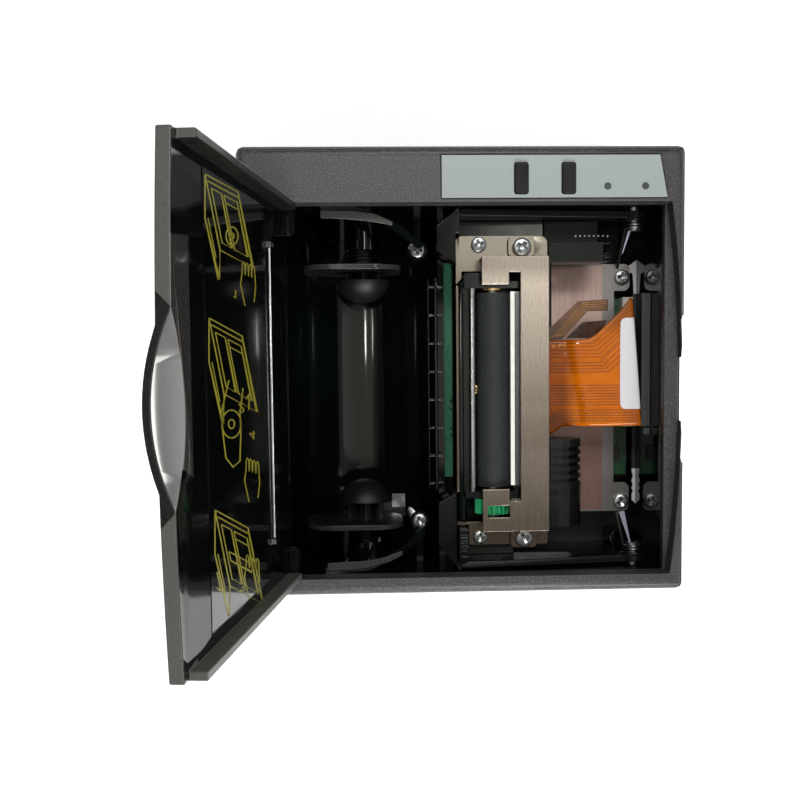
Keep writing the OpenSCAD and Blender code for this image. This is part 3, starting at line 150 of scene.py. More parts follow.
class Mat:
    """A Principled material with a few shorthand nodes."""

    def __init__(self, name, color, rough, metal=0.0, **fixed):
        self.m = bpy.data.materials.new(name)
        self.m.use_nodes = True
        self.nodes = self.m.node_tree.nodes
        self.link = self.m.node_tree.links.new
        self.b = self.nodes["Principled BSDF"]
        self.b.inputs["Base Color"].default_value = (*color, 1)
        self.b.inputs["Roughness"].default_value = rough
        self.b.inputs["Metallic"].default_value = metal
        for key, value in fixed.items():
            self.b.inputs[key.replace("_", " ")].default_value = value
        self.tex = self.node("TexCoord")
        self.height = None

    def node(self, kind):
        return self.nodes.new("ShaderNode" + kind)

    def at(self, scale=(1, 1, 1)):
        n = self.node("Mapping")
        n.inputs["Scale"].default_value = [1000 * s for s in scale]
        self.link(self.tex.outputs["Object"], n.inputs["Vector"])
        return n.outputs["Vector"]

    def noise(self, size, stretch=(1, 1, 1), detail=2.0, rough=0.5, distort=0.0):
        """Noise whose features are about size mm across."""
        n = self.node("TexNoise")
        n.inputs["Scale"].default_value = 1 / size
        n.inputs["Detail"].default_value = detail
        n.inputs["Roughness"].default_value = rough
        n.inputs["Distortion"].default_value = distort
        self.link(self.at(stretch), n.inputs["Vector"])
        return n.outputs["Fac"]

    def cells(self, size, stretch=(1, 1, 1)):
        """Distance to the middle of cells about size mm across."""
        n = self.node("TexVoronoi")
        n.inputs["Scale"].default_value = 1 / size
        self.link(self.at(stretch), n.inputs["Vector"])
        return n.outputs["Distance"]

    def span(self, fac, low, high, from_low=0.3, from_high=0.7):
        """Low to high while fac runs through its window."""
        n = self.node("MapRange")
        window = {"From Min": from_low, "From Max": from_high, "To Min": low, "To Max": high}
        for key, value in window.items():
            n.inputs[key].default_value = value
        self.link(fac, n.inputs["Value"])
        return n.outputs["Result"]

    def along(self, axis, low, high):
        """0 to 1 between two places in mm along an axis."""
        n = self.node("SeparateXYZ")
        self.link(self.at(), n.inputs["Vector"])
        return self.span(n.outputs[axis], 0.0, 1.0, low, high)

    def mix(self, fac, one, two):
        """Colour one where fac is 0 and two where it is 1; each is a tuple or a socket."""
        n = self.node("Mix")
        n.data_type = "RGBA"
        self.link(fac, n.inputs["Factor"])
        for key, value in (("A", one), ("B", two)):
            socket = [s for s in n.inputs if s.name == key and s.type == "RGBA"][0]
            if isinstance(value, tuple):
                socket.default_value = (*value, 1)
            else:
                self.link(value, socket)
        return [s for s in n.outputs if s.type == "RGBA"][0]

    def tint(self, fac, one, two, *window):
        """Colours one to two while fac runs through its window."""
        return self.mix(self.span(fac, 0.0, 1.0, *window), one, two)

    def color(self, out):
        self.link(out, self.b.inputs["Base Color"])

    def rough(self, out):
        self.link(out, self.b.inputs["Roughness"])

    def bump(self, out, depth):
        """Adds a bump of so many mm."""
        n = self.node("Bump")
        n.inputs["Strength"].default_value = 1.0
        n.inputs["Distance"].default_value = depth * MM
        self.link(out, n.inputs["Height"])
        if self.height:
            self.link(self.height, n.inputs["Normal"])
        self.height = n.outputs["Normal"]
        self.link(self.height, self.b.inputs["Normal"])
        return self


def moulded(name, low, high, rough, grain=0.35, depth=0.02, swing=0.08, **fixed):
    """Moulded plastic: fine grain, slow change of colour and gloss."""
    m = Mat(name, low, rough, **fixed)
    slow = m.noise(14, detail=3)
    m.color(m.tint(m.noise(grain, detail=3), low, high))
    m.rough(m.span(slow, rough - swing, rough + swing))
    return m.bump(m.noise(grain, detail=2), depth)


def gloss(name, low, rough, smudge=0.12, **fixed):
    """Polished black plastic with smudges, dust and a slow ripple of the mould."""
    m = Mat(name, low, rough, **fixed)
    dusty = tuple(2.2 * c + 0.004 for c in low)
    m.color(m.tint(m.noise(0.45, detail=4, rough=0.7), low, dusty, 0.66, 0.78))
    smears = m.noise(9, (1, 0.4, 1), detail=5, rough=0.6, distort=0.6)
    m.rough(m.span(smears, rough, rough + smudge, 0.45, 0.75))
    return m.bump(m.noise(11, detail=1), 0.024)


def metal(name, color, rough, brush, size, depth, stain=None):
    """Metal with fine lines; brush stretches the noise, small along the lines."""
    m = Mat(name, color, rough, 1.0)
    lines = m.noise(size, brush, detail=4, rough=0.65)
    stain = stain or tuple(0.72 * c for c in color)
    slow = m.noise(7, detail=4)
    m.color(m.mix(m.span(lines, 0.0, 0.4), m.mix(m.span(slow, 0.0, 0.5), color, stain), stain))
    m.rough(m.span(lines, rough * 0.85, rough * 1.2))
    return m.bump(lines, depth)


# ---------- materials by slot

M = {}
for slot, *look in (
    ("cover_plastic", "cover_abs", (0.02, 0.021, 0.022), (0.045, 0.046, 0.047), 0.5, 0.4, 0.05),
    ("frame_plastic", "satin_frame", (0.002, 0.0028, 0.0025), (0.006, 0.007, 0.0065), 0.16, 0.45, 0.008,
     0.05),
    ("sensor_plastic", "sensor_plastic", (0.010, 0.0105, 0.011), (0.022, 0.022, 0.021), 0.30, 0.4, 0.01),
    ("switch_plastic", "switch_plastic", (0.012, 0.012, 0.013), (0.03, 0.03, 0.03), 0.45),
    ("jack_plastic", "jack_plastic", (0.01, 0.01, 0.01), (0.025, 0.025, 0.025), 0.4),
    ("chip_mix", "chip_epoxy", (0.006, 0.012, 0.008), (0.014, 0.022, 0.016), 0.4, 0.2, 0.006),
    ("motor_black", "motor_black", (0.0025, 0.003, 0.003), (0.009, 0.0095, 0.009), 0.2, 0.7, 0.012),
    ("connector_plastic", "connector_plastic", (0.62, 0.60, 0.54), (0.72, 0.70, 0.64), 0.42, 0.4, 0.008),
    ("gear_green", "gear_green", (0.012, 0.30, 0.11), (0.03, 0.42, 0.17), 0.34, 0.5, 0.01),
    ("gear_white", "gear_white", (0.66, 0.62, 0.50), (0.76, 0.72, 0.60), 0.38, 0.5, 0.01),
):
    M[slot] = moulded(*look)
M["hub_plastic"] = moulded("satin_hub", (0.0012, 0.0015, 0.0015), (0.009, 0.010, 0.010), 0.42, 0.35, 0.06,
                           0.06, Specular_IOR_Level=0.28)
M["key_plastic"] = moulded("key_plastic", (0.004, 0.004, 0.004), (0.012, 0.0115, 0.0115), 0.22, 0.3, 0.01,
                           Specular_IOR_Level=0.2)
M["inner_plastic"] = gloss("polished_black", (0.0015, 0.0032, 0.0024), 0.06, 0.07)
M["lid_plastic"] = gloss("lid_gloss", (0.002, 0.0027, 0.0025), 0.05, 0.08, Specular_IOR_Level=0.38)

for slot, *look in (
    ("shield_metal", "satin_shield", (0.30, 0.29, 0.285), 0.36, (1, 0.2, 1), 0.3, 0.003),
    ("screw_steel", "zinc_screw", (0.47, 0.50, 0.49), 0.32, (1, 1, 1), 0.5, 0.004),
    ("bright_metal", "bright_plate", (0.72, 0.72, 0.77), 0.14, (0.2, 1, 1), 0.4, 0.003),
    ("spring_steel", "spring_wire", (0.20, 0.21, 0.22), 0.30, (1, 1, 1), 0.3, 0.003),
    ("wire_steel", "guide_wire", (0.80, 0.82, 0.86), 0.16, (1, 0.1, 1), 0.3, 0.001),
    ("cast_alloy", "cast_alloy", (0.42, 0.43, 0.43), 0.42, (1, 0.3, 1), 0.3, 0.006),
    ("dark_steel", "blackened_steel", (0.17, 0.18, 0.19), 0.30, (1, 0.1, 1), 0.25, 0.003),
    ("port_metal", "nickel_shell", (0.58, 0.58, 0.58), 0.26, (1, 0.3, 1), 0.3, 0.003),
    ("brass_bush", "brass", (0.80, 0.56, 0.25), 0.25, (1, 1, 0.3), 0.3, 0.004),
):
    M[slot] = metal(*look)

# coarse spark-eroded grain of the outside, with painted shade that darkens it towards the right side
m = M["body_plastic"] = Mat("textured_abs", (0.03, 0.032, 0.033), 0.42)
grain = m.noise(0.5, detail=2.5, rough=0.55)
left = m.tint(grain, (0.03, 0.033, 0.0335), (0.118, 0.124, 0.122), 0.5, 0.72)
right = m.tint(grain, (0.018, 0.019, 0.0185), (0.075, 0.077, 0.073), 0.5, 0.72)
m.color(m.mix(m.along("X", 30, 62), left, right))
m.rough(m.span(grain, 0.36, 0.58))
m.bump(grain, 0.075)

m = M["lamp_lens"] = Mat("lamp_lens", (0.03, 0.032, 0.034), 0.18, Coat_Weight=0.4)
m.color(m.tint(m.cells(0.5), (0.025, 0.027, 0.029), (0.06, 0.065, 0.07), 0.1, 0.6))

m = M["strip_film"] = Mat("strip_film", (0.34, 0.40, 0.41), 0.36)
m.color(m.tint(m.noise(0.25, detail=3), (0.235, 0.275, 0.27), (0.30, 0.35, 0.342)))
m.rough(m.span(m.noise(5, detail=3), 0.28, 0.46))
m.bump(m.noise(0.18, detail=1), 0.006)

m = M["label_film"] = Mat("label_film", (0.0018, 0.0024, 0.002), 0.06, Specular_IOR_Level=0.38)
m.rough(m.span(m.noise(12, (1, 0.5, 1), detail=5, rough=0.6), 0.05, 0.16, 0.45, 0.8))
m.bump(m.noise(16, detail=1), 0.03)

# steel bracket, brushed along Y, with painted light along Y: painted shade and patches at its lower end, a
# painted highlight from y 15 to 26, painted shade above that
STEEL, STAIN_AND_SHADE = (0.43, 0.37, 0.305), (0.31, 0.26, 0.21)
m = M["plate_steel"] = metal("brushed_plate", STEEL, 0.26, (1, 0.012, 1), 0.11, 0.0015, stain=STAIN_AND_SHADE)
lines = m.noise(0.13, (1, 0.012, 1), detail=5, rough=0.7)
slow = m.span(m.noise(11, (0.05, 1, 1), detail=2), 0.0, 1.0, 0.35, 0.65)
shaded_low_end = m.mix(m.span(lines, 0.0, 0.65), m.mix(slow, STEEL, STAIN_AND_SHADE), tuple(0.7 * c for c in STAIN_AND_SHADE))
# painted highlight: a lighter steel band in the middle
middle = m.mix(m.span(lines, 0.0, 0.4), (0.53, 0.47, 0.40), STEEL)
shaded_high_end = m.mix(m.span(lines, 0.0, 0.5), (0.30, 0.265, 0.23), STAIN_AND_SHADE)
m.color(m.mix(m.along("Y", -22, 15), shaded_low_end, m.mix(m.along("Y", 26, 31), middle, shaded_high_end)))
BASE = metal("base_plate", (0.20, 0.165, 0.13), 0.30, (1, 0.02, 1), 0.12, 0.0015, stain=(0.13, 0.105, 0.08))
# painted light along Y: the base plate is lighter above y 34, and painted shade darkens it below y 20
BASE.color(BASE.mix(BASE.along("Y", 20, 34), (0.17, 0.14, 0.11), (0.25, 0.228, 0.185)))

m = M["board_green"] = Mat("solder_mask", (0.012, 0.12, 0.06), 0.28, Coat_Weight=0.3)
traces = m.span(m.cells(1.6, (1, 0.25, 1)), 0.0, 1.0, 0.30, 0.36)
# painted light: the board is bright green left of x 0, and painted shade makes it dark green right of x 12
m.color(m.mix(m.along("X", 0, 12), m.mix(traces, (0.09, 0.46, 0.25), (0.13, 0.55, 0.31)),
              m.mix(traces, (0.006, 0.045, 0.018), (0.012, 0.085, 0.034))))
m.rough(m.span(m.noise(4, detail=3), 0.2, 0.4))
m.bump(traces, 0.02)

m = M["pink_film"] = Mat("pink_film", (0.42, 0.27, 0.24), 0.42, 0.65)
# painted light along Y: painted shade darkens the film below y -30, and it is painted lit above y 8
lit_top_shaded_bottom = m.mix(m.along("Y", -30, 8), (0.24, 0.14, 0.11), (0.62, 0.46, 0.41))
m.color(m.mix(m.span(m.noise(0.5, (1, 0.03, 1), detail=3), 0.0, 0.5), lit_top_shaded_bottom, (0.32, 0.21, 0.185)))
m.rough(m.span(m.noise(6, detail=4), 0.3, 0.5))
m.bump(m.noise(3, detail=4), 0.015)
m.bump(m.noise(0.4, (1, 0.03, 1), detail=3), 0.006)

# orange circuit with painted light: painted shade darkens it under the bracket and at its upper edge, a
# painted highlight makes it bright where it bends up, and painted shade dims it at its fold
m = M["flex_film"] = Mat("amber_flex", (0.56, 0.17, 0.012), 0.22, Coat_Weight=0.12, Coat_Roughness=0.08,
                         Specular_IOR_Level=0.2)
tone = m.span(m.noise(5, detail=3), 0.0, 1.0)
under = m.mix(tone, (0.20, 0.040, 0.0015), (0.27, 0.058, 0.002))
bright = m.mix(tone, (0.42, 0.095, 0.001), (0.53, 0.13, 0.002))
bend_light_and_edge_shade = m.mix(m.along("Y", 9, 19), bright, (0.17, 0.048, 0.004))
m.color(m.mix(m.along("X", 33.0, 36.8), under, m.mix(m.along("X", 49, 57), bend_light_and_edge_shade, (0.30, 0.075, 0.003))))
m.rough(m.span(m.noise(2, detail=3), 0.16, 0.3))
m.bump(m.noise(12, detail=1), 0.05)

m = M["label_paper"] = Mat("label_paper", (0.78, 0.77, 0.80), 0.5)
m.color(m.tint(m.noise(0.3, detail=4), (0.55, 0.54, 0.57), (0.62, 0.61, 0.64)))
m.bump(m.noise(0.25, detail=3), 0.006)

m = M["head_ceramic"] = Mat("ceramic", (0.62, 0.66, 0.60), 0.25, Coat_Weight=0.4)
m.color(m.tint(m.noise(0.8, (1, 0.3, 1), detail=4), (0.70, 0.74, 0.68), (0.86, 0.88, 0.82)))
m.bump(m.noise(0.4, detail=2), 0.004)

m = M["platen_rubber"] = Mat("ground_rubber", (0.030, 0.036, 0.041), 0.62, Specular_IOR_Level=0.35)
fine = m.noise(0.28, (1, 0.5, 1), detail=5, rough=0.7)
m.color(m.tint(fine, (0.008, 0.0105, 0.0115), (0.03, 0.034, 0.035), 0.35, 0.75))
m.rough(m.span(m.noise(3, detail=4), 0.5, 0.75))
m.bump(fine, 0.02)

for name, node in nodes.items():
    wanted = M[slot_of[name]].m
    if node.data.materials:
        for s in node.material_slots:
            s.material = wanted
    else:
        node.data.materials.append(wanted)

# ---------- mesh tools


def new_object(name, verts, faces, body, slot, smooth=None, material=None, replaces=()):
    """A mesh piece in metres from points in millimetres."""
    me = bpy.data.meshes.new(name)
    me.from_pydata([Vector(v) * MM for v in verts], [], faces)
    me.validate()
    return finish_mesh(name, me, body, slot, smooth, material, replaces)


def finish_mesh(name, me, body, slot, smooth=None, material=None, replaces=()):
    """Links a mesh and dresses it; a piece given no body is left without one."""
    o = new_in_scene(name, me)
    if smooth is not None:
        me.shade_smooth()
        me.set_sharp_from_angle(angle=math.radians(smooth))
    me.materials.append((material or M[slot]).m)
    if body:
        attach(o, body)
    if replaces:
        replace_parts(o, *replaces)
    return o


SHARP = 32  # degrees between faces from which an edge is rounded
SAME_PLACE = 2e-6  # metres


def soften(name, width):
    """A copy of a CAD node with its sharp edges rounded by width mm, which stands for the node."""
    bm = bmesh.new()
    bm.from_mesh(nodes[name].data)
    bmesh.ops.remove_doubles(bm, verts=bm.verts, dist=SAME_PLACE)
    bmesh.ops.dissolve_limit(bm, angle_limit=math.radians(0.4), verts=bm.verts, edges=bm.edges,
                             use_dissolve_boundaries=False)
    me = bpy.data.meshes.new(name + "_soft")
    bm.to_mesh(me)
    bm.free()
    o = finish_mesh(name + "_soft", me, body_of[name], slot_of[name], smooth=SHARP, replaces=(name,))
    bev = o.modifiers.new("edges", "BEVEL")
    bev.width = width * MM
    bev.segments = 2
    bev.limit_method = "ANGLE"
    bev.angle_limit = math.radians(SHARP)
    bev.use_clamp_overlap = False
    bev.harden_normals = True
    bev.miter_outer = "MITER_ARC"
    return o


def box_mm(node):
    """Lowest and highest corners of a CAD node in mm."""
    lo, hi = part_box(node)
    return [1000 * v for v in lo], [1000 * v for v in hi]


soft = {}
for name, width in (
    ("front_bezel", 0.35), ("lid_shell", 0.35), ("swing_frame", 0.3), ("platen_bracket", 0.22),
    ("mechanism_base", 0.2), ("paper_comb", 0.2), ("release_lever", 0.15), ("feed_key", 0.25),
    ("print_key", 0.25), ("rear_cover", 0.4), ("upper_hub", 0.2), ("lower_hub", 0.2),
):
    soft[name] = soften(name, width)


# the lid as it is opened: along it from its hinge, and out of its outer face
LID_FOOT = Vector((-50.8, 0, 59.5))
LID_OPEN = math.radians(97.6)
LID_UP = Vector((math.cos(LID_OPEN), 0, math.sin(LID_OPEN)))
LID_OUT = Vector((-math.sin(LID_OPEN), 0, math.cos(LID_OPEN)))
SCOOP_FROM = 101.5  # where the polished part of the finger scoop begins, in mm from the hinge
EDGE, RIM, SCOOP, DIM = 1, 2, 3, 4  # the lid's added materials

lid_me = soft["lid_shell"].data
bm = bmesh.new()
bm.from_mesh(lid_me)
near = [f for f in bm.faces
        if abs(f.calc_center_median().y * 1000 - MID_Y) < 23 and f.normal.dot(LID_OUT) < -0.3]
ring = list({e for f in near for e in f.edges}) + list({v for f in near for v in f.verts})
scoop_cut = (LID_FOOT + LID_UP * SCOOP_FROM) * MM
bmesh.ops.bisect_plane(bm, geom=near + ring, plane_co=scoop_cut, plane_no=LID_UP)
bm.normal_update()
for e in bm.edges:  # the outside's large face stays flat up to its edges
    sides = e.link_faces
    outside = len(sides) == 2 and all(f.normal.dot(LID_OUT) > 0.3 for f in sides)
    if outside and max(f.calc_area() for f in sides) > 2e-3:
        e.smooth = False
bm.to_mesh(lid_me)
bm.free()


def lid_look(f):
    """Material of a face of the lid: it is polished inside only, its edges and outside have a grain."""
    u, off_axis = (f.center * 1000 - LID_FOOT).dot(LID_UP), abs(f.center.y * 1000 - MID_Y)
    out, up = f.normal.dot(LID_OUT), f.normal.dot(LID_UP)
    upper_side = f.center.y > 0.038
    if u < 7 and out < 0.5:
        return DIM
    if off_axis < 22 and u > 92 and out < -0.3:
        return SCOOP if u > SCOOP_FROM - 0.1 else DIM
    if (off_axis < 21.3 and up > 0.85) or (upper_side and f.normal.y < -0.9):
        return RIM
    if out > 0.2 or up > 0.85 or (abs(f.normal.y) > 0.9 and f.area > 5e-5):
        return EDGE
    if out < -0.9 and f.area < 6e-4:
        if upper_side:
            return RIM
        if off_axis > 46:
            return EDGE
    return f.material_index


for look in (
    moulded("lid_edge", (0.057, 0.060, 0.055), (0.077, 0.080, 0.070), 0.42, 0.7, 0.012, 0.03),
    moulded("lid_rim", (0.006, 0.0065, 0.006), (0.018, 0.019, 0.018), 0.3, 0.5, 0.01,
            Specular_IOR_Level=0.12),
    gloss("lid_scoop", (0.03, 0.03, 0.029), 0.10, Specular_IOR_Level=0.9, Coat_Weight=0.6,
          Coat_Roughness=0.03),
    gloss("lid_dim", (0.002, 0.0022, 0.0022), 0.12, Specular_IOR_Level=0.12),
):
    lid_me.materials.append(look.m)
for f in lid_me.polygons:
    f.material_index = lid_look(f)


def paint(obj, material, test):
    """Another material on the faces whose centre in mm and normal pass a test."""
    obj.data.materials.append(material.m)
    for f in obj.data.polygons:
        if test(f.center * 1000, f.normal):
            f.material_index = len(obj.data.materials) - 1


CHEEK = moulded("cheek_grain", (0.018, 0.019, 0.017), (0.055, 0.056, 0.052), 0.4, 0.5, 0.03)
# painted highlight: the hubs' disc rims are lighter than their faces
HUB_RIM_HIGHLIGHT = moulded("hub_rim_highlight", (0.014, 0.014, 0.017), (0.036, 0.036, 0.042), 0.2, 0.5, 0.02)
ROLL_X, ROLL_Z = -28.9, 37  # axis of the paper roll
for name in ("upper_hub", "lower_hub"):
    paint(soft[name], HUB_RIM_HIGHLIGHT, lambda c, n: abs(n.y) < 0.3 and math.hypot(c.x - ROLL_X, c.z - ROLL_Z) > 14.3)
soft["mechanism_base"].data.materials[0] = BASE.m
FRAME_TOP = moulded("frame_top", (0.002, 0.0026, 0.0022), (0.006, 0.007, 0.006), 0.3, 0.45, 0.008, 0.05,
                    Specular_IOR_Level=0.2)
paint(soft["swing_frame"], FRAME_TOP, lambda c, n: n.z > 0.9 and c.x > 20 and c.y > 30)


def coil(name):
    """A hub's spring as a piece of its own, with no body; it stands for the rigid one."""
    me = nodes[name].data.copy()
    me.materials.clear()
    o = finish_mesh(name + "_coil", me, None, slot_of[name], smooth=50, replaces=(name,))
    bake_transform(o)


coil("upper_hub_spring")
coil("lower_hub_spring")

# ---------- screws with domed heads and a cross recess


def islands(node):
    """Lowest and highest corners in mm of each separate solid of a node."""
    bm = bmesh.new()
    bm.from_mesh(nodes[node].data)
    bmesh.ops.remove_doubles(bm, verts=bm.verts, dist=SAME_PLACE)
    left, found = set(bm.verts), []
    while left:
        todo = [left.pop()]
        lo, hi = todo[0].co.copy(), todo[0].co.copy()
        while todo:
            v = todo.pop()
            lo, hi = Vector(map(min, lo, v.co)), Vector(map(max, hi, v.co))
            for e in v.link_edges:
                w = e.other_vert(v)
                if w in left:
                    left.remove(w)
                    todo.append(w)
        found.append((lo * 1000, hi * 1000))
    bm.free()
    return found


def screw_mesh(radius, head_h, shank_r, shank_l, turn):
    """Points and faces of a pan-head screw that stands on z = 0."""
    verts, faces = [], []
    arm, deep = radius * 0.17, head_h * 0.62
    core, arm_end = 0.24, 0.64  # where the recess's floor and arms end, as parts of the radius
    rings = [core, 0.34, 0.5, arm_end, 0.66, 0.72, 0.82, 0.90, 0.955, 0.985, 1.0]

    def dome(t):
        return head_h * (0.62 + 0.38 * math.sqrt(1 - t ** 2.6)) if t < 1 else head_h * 0.5

    def columns(r):
        """Angle of each corner round the head, and whether it lies in the recess."""
        a = math.asin(arm / r)
        b = math.asin(arm * 1.35 / r)
        cols = []
        for q in range(4):
            base = q * math.pi / 2 + turn
            rest = math.pi / 2 - 2 * b
            cols += [(base - b, 0), (base - a, 1), (base, 1), (base + a, 1), (base + b, 0)]
            cols += [(base + b + rest * f, 0) for f in (0.25, 0.5, 0.75)]
        return cols

    verts.append((0, 0, head_h - deep))
    for t in rings:
        r = radius * t
        for angle, cut in columns(r):
            z = dome(t)
            if t <= core:
                z = head_h - deep * 0.96
            elif cut and t <= arm_end:
                z = head_h - deep * (0.96 - 0.5 * (t - core) / (arm_end - core))
            verts.append((r * math.cos(angle), r * math.sin(angle), z))
    n = 32  # corners round the head
    for j in range(n):
        faces.append((0, 1 + j, 1 + (j + 1) % n))
    for k in range(len(rings) - 1):
        for j in range(n):
            a, b = 1 + k * n + j, 1 + k * n + (j + 1) % n
            faces.append((a, a + n, b + n, b))
    last = 1 + (len(rings) - 1) * n
    # side of the head, its underside and the threaded shank
    profile = [(radius, 0.0), (shank_r * 1.1, 0.0)]
    turns = max(2, int(shank_l / 0.7))
    for i in range(turns):
        z = -0.15 - i * shank_l / turns
        profile += [(shank_r * 0.84, z), (shank_r, z - 0.3 * shank_l / turns)]
    profile.append((shank_r * 0.5, -shank_l))
    ring0 = last
    for r, z in profile:
        first = len(verts)
        for j in range(n):
            angle = math.atan2(verts[last + j][1], verts[last + j][0])
            verts.append((r * math.cos(angle), r * math.sin(angle), z))
        for j in range(n):
            faces.append((ring0 + j, first + j, first + (j + 1) % n, ring0 + (j + 1) % n))
        ring0 = first
    faces.append(tuple(ring0 + j for j in range(n))[::-1])
    return verts, faces


def screws(node, down=False, wide=1.0):
    """Detailed screws in place of a node of plain ones."""
    verts, faces = [], []
    for k, (lo, hi) in enumerate(sorted(islands(node), key=lambda b: (b[0].x, b[0].y))):
        centre = (lo + hi) / 2
        radius = (hi.x - lo.x) / 2 * wide
        head_h = radius * 0.62 / wide
        vs, fs = screw_mesh(radius, head_h, radius * 0.46, hi.z - lo.z - head_h, 0.35 + 1.1 * k)
        first = len(verts)
        for x, y, z in vs:
            if down:
                verts.append((centre.x + x, centre.y - y, lo.z + head_h - z))
            else:
                verts.append((centre.x + x, centre.y + y, hi.z - head_h + z))
        faces += [tuple(first + i for i in f) for f in fs]
    return new_object(node + "_cross", verts, faces, body_of[node], slot_of[node], smooth=38,
                      replaces=(node,))


screws("mechanism_screws")
screws("trough_screws")
screws("shield_screws", wide=1.18)
screws("cover_screws", down=True)


# ---------- ribbons: thin printed or etched lines that lie on a surface


def ribbon(points, width, lift):
    """Points and faces of a flat line through 3-D points; lift is the way out of the surface at each."""
    verts, faces = [], []
    for i, p in enumerate(points):
        before, after = points[max(0, i - 1)], points[min(len(points) - 1, i + 1)]
        side = (after - before).cross(lift[i]).normalized() * width / 2
        if 0 < i < len(points) - 1:
            one, two = (p - before).normalized(), (after - p).normalized()
            side *= min(2.0, 1 / max(0.5, math.sqrt((1 + one.dot(two)) / 2)))
        verts += [p - side, p + side]
    for i in range(len(points) - 1):
        faces.append((2 * i, 2 * i + 1, 2 * i + 3, 2 * i + 2))
    return verts, faces


def ribbons(name, lines, body, slot, material):
    """One piece of many ribbons; lines is a list of (points, width, lifts)."""
    verts, faces = [], []
    for points, width, lift in lines:
        vs, fs = ribbon([Vector(p) for p in points], width, lift)
        faces += [tuple(len(verts) + i for i in f) for f in fs]
        verts += vs
    return new_object(name, verts, faces, body, slot, material=material)


# ---------- the flat flexible circuit from the print head to the main board

head_lo, head_hi = box_mm("head_flex")
board_lo, board_hi = box_mm("board_flex")
flex_top = head_hi[2]
flex_y0, flex_y1 = board_lo[1], board_hi[1]
flex_end_x = board_hi[0]
base_x1 = box_mm("mechanism_base")[1][0]
FOLD_R = 1.0
RISE_X, RISE = 35.6, 2.2  # where it bends up, and how far
DROP = flex_top - FOLD_R - board_lo[2] - 0.4  # from the fold down into the connector

# outline, low and high y along x, as the CAD has it
LOW_EDGE = [(head_lo[0], head_lo[1]), (base_x1 + 2, head_lo[1]), (base_x1 + 5.8, flex_y0),
            (flex_end_x, flex_y0)]
HIGH_EDGE = [(head_lo[0], 9.3), (base_x1 + 1.7, 9.3), (38.5, 9.5), (40.6, 9.95), (42.2, 10.9), (43.8, 12.3),
             (49.4, 17.8), (52.4, 21.2), (53.3, flex_y1), (flex_end_x, flex_y1)]


def along(edge, x):
    """Place in y of an edge of the circuit at x."""
    for (x0, y0), (x1, y1) in zip(edge, edge[1:]):
        if x <= x1:
            return y0 + (y1 - y0) * min(1, max(0, (x - x0) / max(1e-6, x1 - x0)))
    return edge[-1][1]


def flex_z(x, y):
    """Height of the circuit: it leaves the head low, bends up and settles flat before its label."""
    rise = 1 / (1 + math.exp(-(x - RISE_X - 0.17 * (3.0 - y)) / 0.85))
    return flex_top - RISE * (1 - rise) - 0.0012 * (x - 38) * max(0.0, 52 - x)


def bend_x(y):
    """Where the circuit turns down: its fold runs a little askew."""
    return flex_end_x - 1.3 - 3.0 * (y - flex_y0) / (flex_y1 - flex_y0)


def flex_point(s, y, lift=0.0):
    """A point of the circuit, s mm along it; beyond the fold it goes down into its connector."""
    fold, r = bend_x(y), FOLD_R
    if s <= fold:
        return Vector((s, y, flex_z(s, y) + lift)), UP
    a = (s - fold) / r
    if a < math.pi / 2:
        n = Vector((math.sin(a), 0, math.cos(a)))
        return Vector((fold, y, flex_top - r)) + n * (r + lift), n
    down = (s - fold - r * math.pi / 2) / DROP
    x = fold + r + (flex_end_x - fold - r) * min(1, down)
    return Vector((x + lift, y, flex_top - r - down * DROP)), Vector((1, 0, 0))


stations = [head_lo[0] + 0.5 * i for i in range(int((flex_end_x - 4 - head_lo[0]) / 0.5))]
verts, faces = [], []
ACROSS, BENT, HUNG = 28, 7, 13  # steps across the sheet, round its fold and down to the connector
cols = len(stations) + 4 + BENT + HUNG
for j in range(ACROSS + 1):
    for x in stations:
        lo, hi = along(LOW_EDGE, x), along(HIGH_EDGE, x)
        verts.append(flex_point(x, lo + (hi - lo) * j / ACROSS)[0])
    y = flex_y0 + (flex_y1 - flex_y0) * j / ACROSS
    fold = bend_x(y)
    start = stations[-1]
    ends = [start + (fold - start) * f for f in (0.3, 0.6, 0.85, 1.0)]
    ends += [fold + 0.225 * k for k in range(1, BENT + 1)]
    ends += [fold + math.pi / 2 + DROP * k / HUNG for k in range(1, HUNG + 1)]
    verts += [flex_point(s, y)[0] for s in ends]
for j in range(ACROSS):
    for i in range(cols - 1):
        a = j * cols + i
        faces.append((a, a + 1, a + cols + 1, a + cols))
flex_sheet = new_object("flex_circuit", verts, faces, None, "flex_film", smooth=60,
                        replaces=("head_flex", "board_flex"))
thick = flex_sheet.modifiers.new("thickness", "SOLIDIFY")
thick.thickness = 0.22 * MM
thick.offset = -1.0

m = TRACE = Mat("etched_trace", (0.16, 0.035, 0.004), 0.25, Coat_Weight=0.6, Coat_Roughness=0.06)
# painted shade: the traces are dark below x 32, where the sheet lies under the bracket
m.color(m.mix(m.along("X", 32, 38), (0.035, 0.008, 0.001),
              m.tint(m.noise(1.5, detail=2), (0.15, 0.03, 0.003), (0.26, 0.055, 0.006))))
m.bump(m.noise(0.4, detail=2), 0.01)


def trace(path, width=0.26):
    """A trace through (x, y) corners, laid on the sheet in short steps."""
    points, lifts = [], []
    for (x0, y0), (x1, y1) in zip(path, path[1:]):
        steps = max(1, int(math.hypot(x1 - x0, y1 - y0) / 0.7))
        for k in range(steps):
            f = k / steps
            p, n = flex_point(x0 + (x1 - x0) * f, y0 + (y1 - y0) * f, 0.03)
            points.append(p)
            lifts.append(n)
    p, n = flex_point(path[-1][0], path[-1][1], 0.03)
    return points + [p], width, lifts + [n]


lines = []
trace_x0, trace_x1 = head_lo[0] + 0.3, flex_end_x + 14
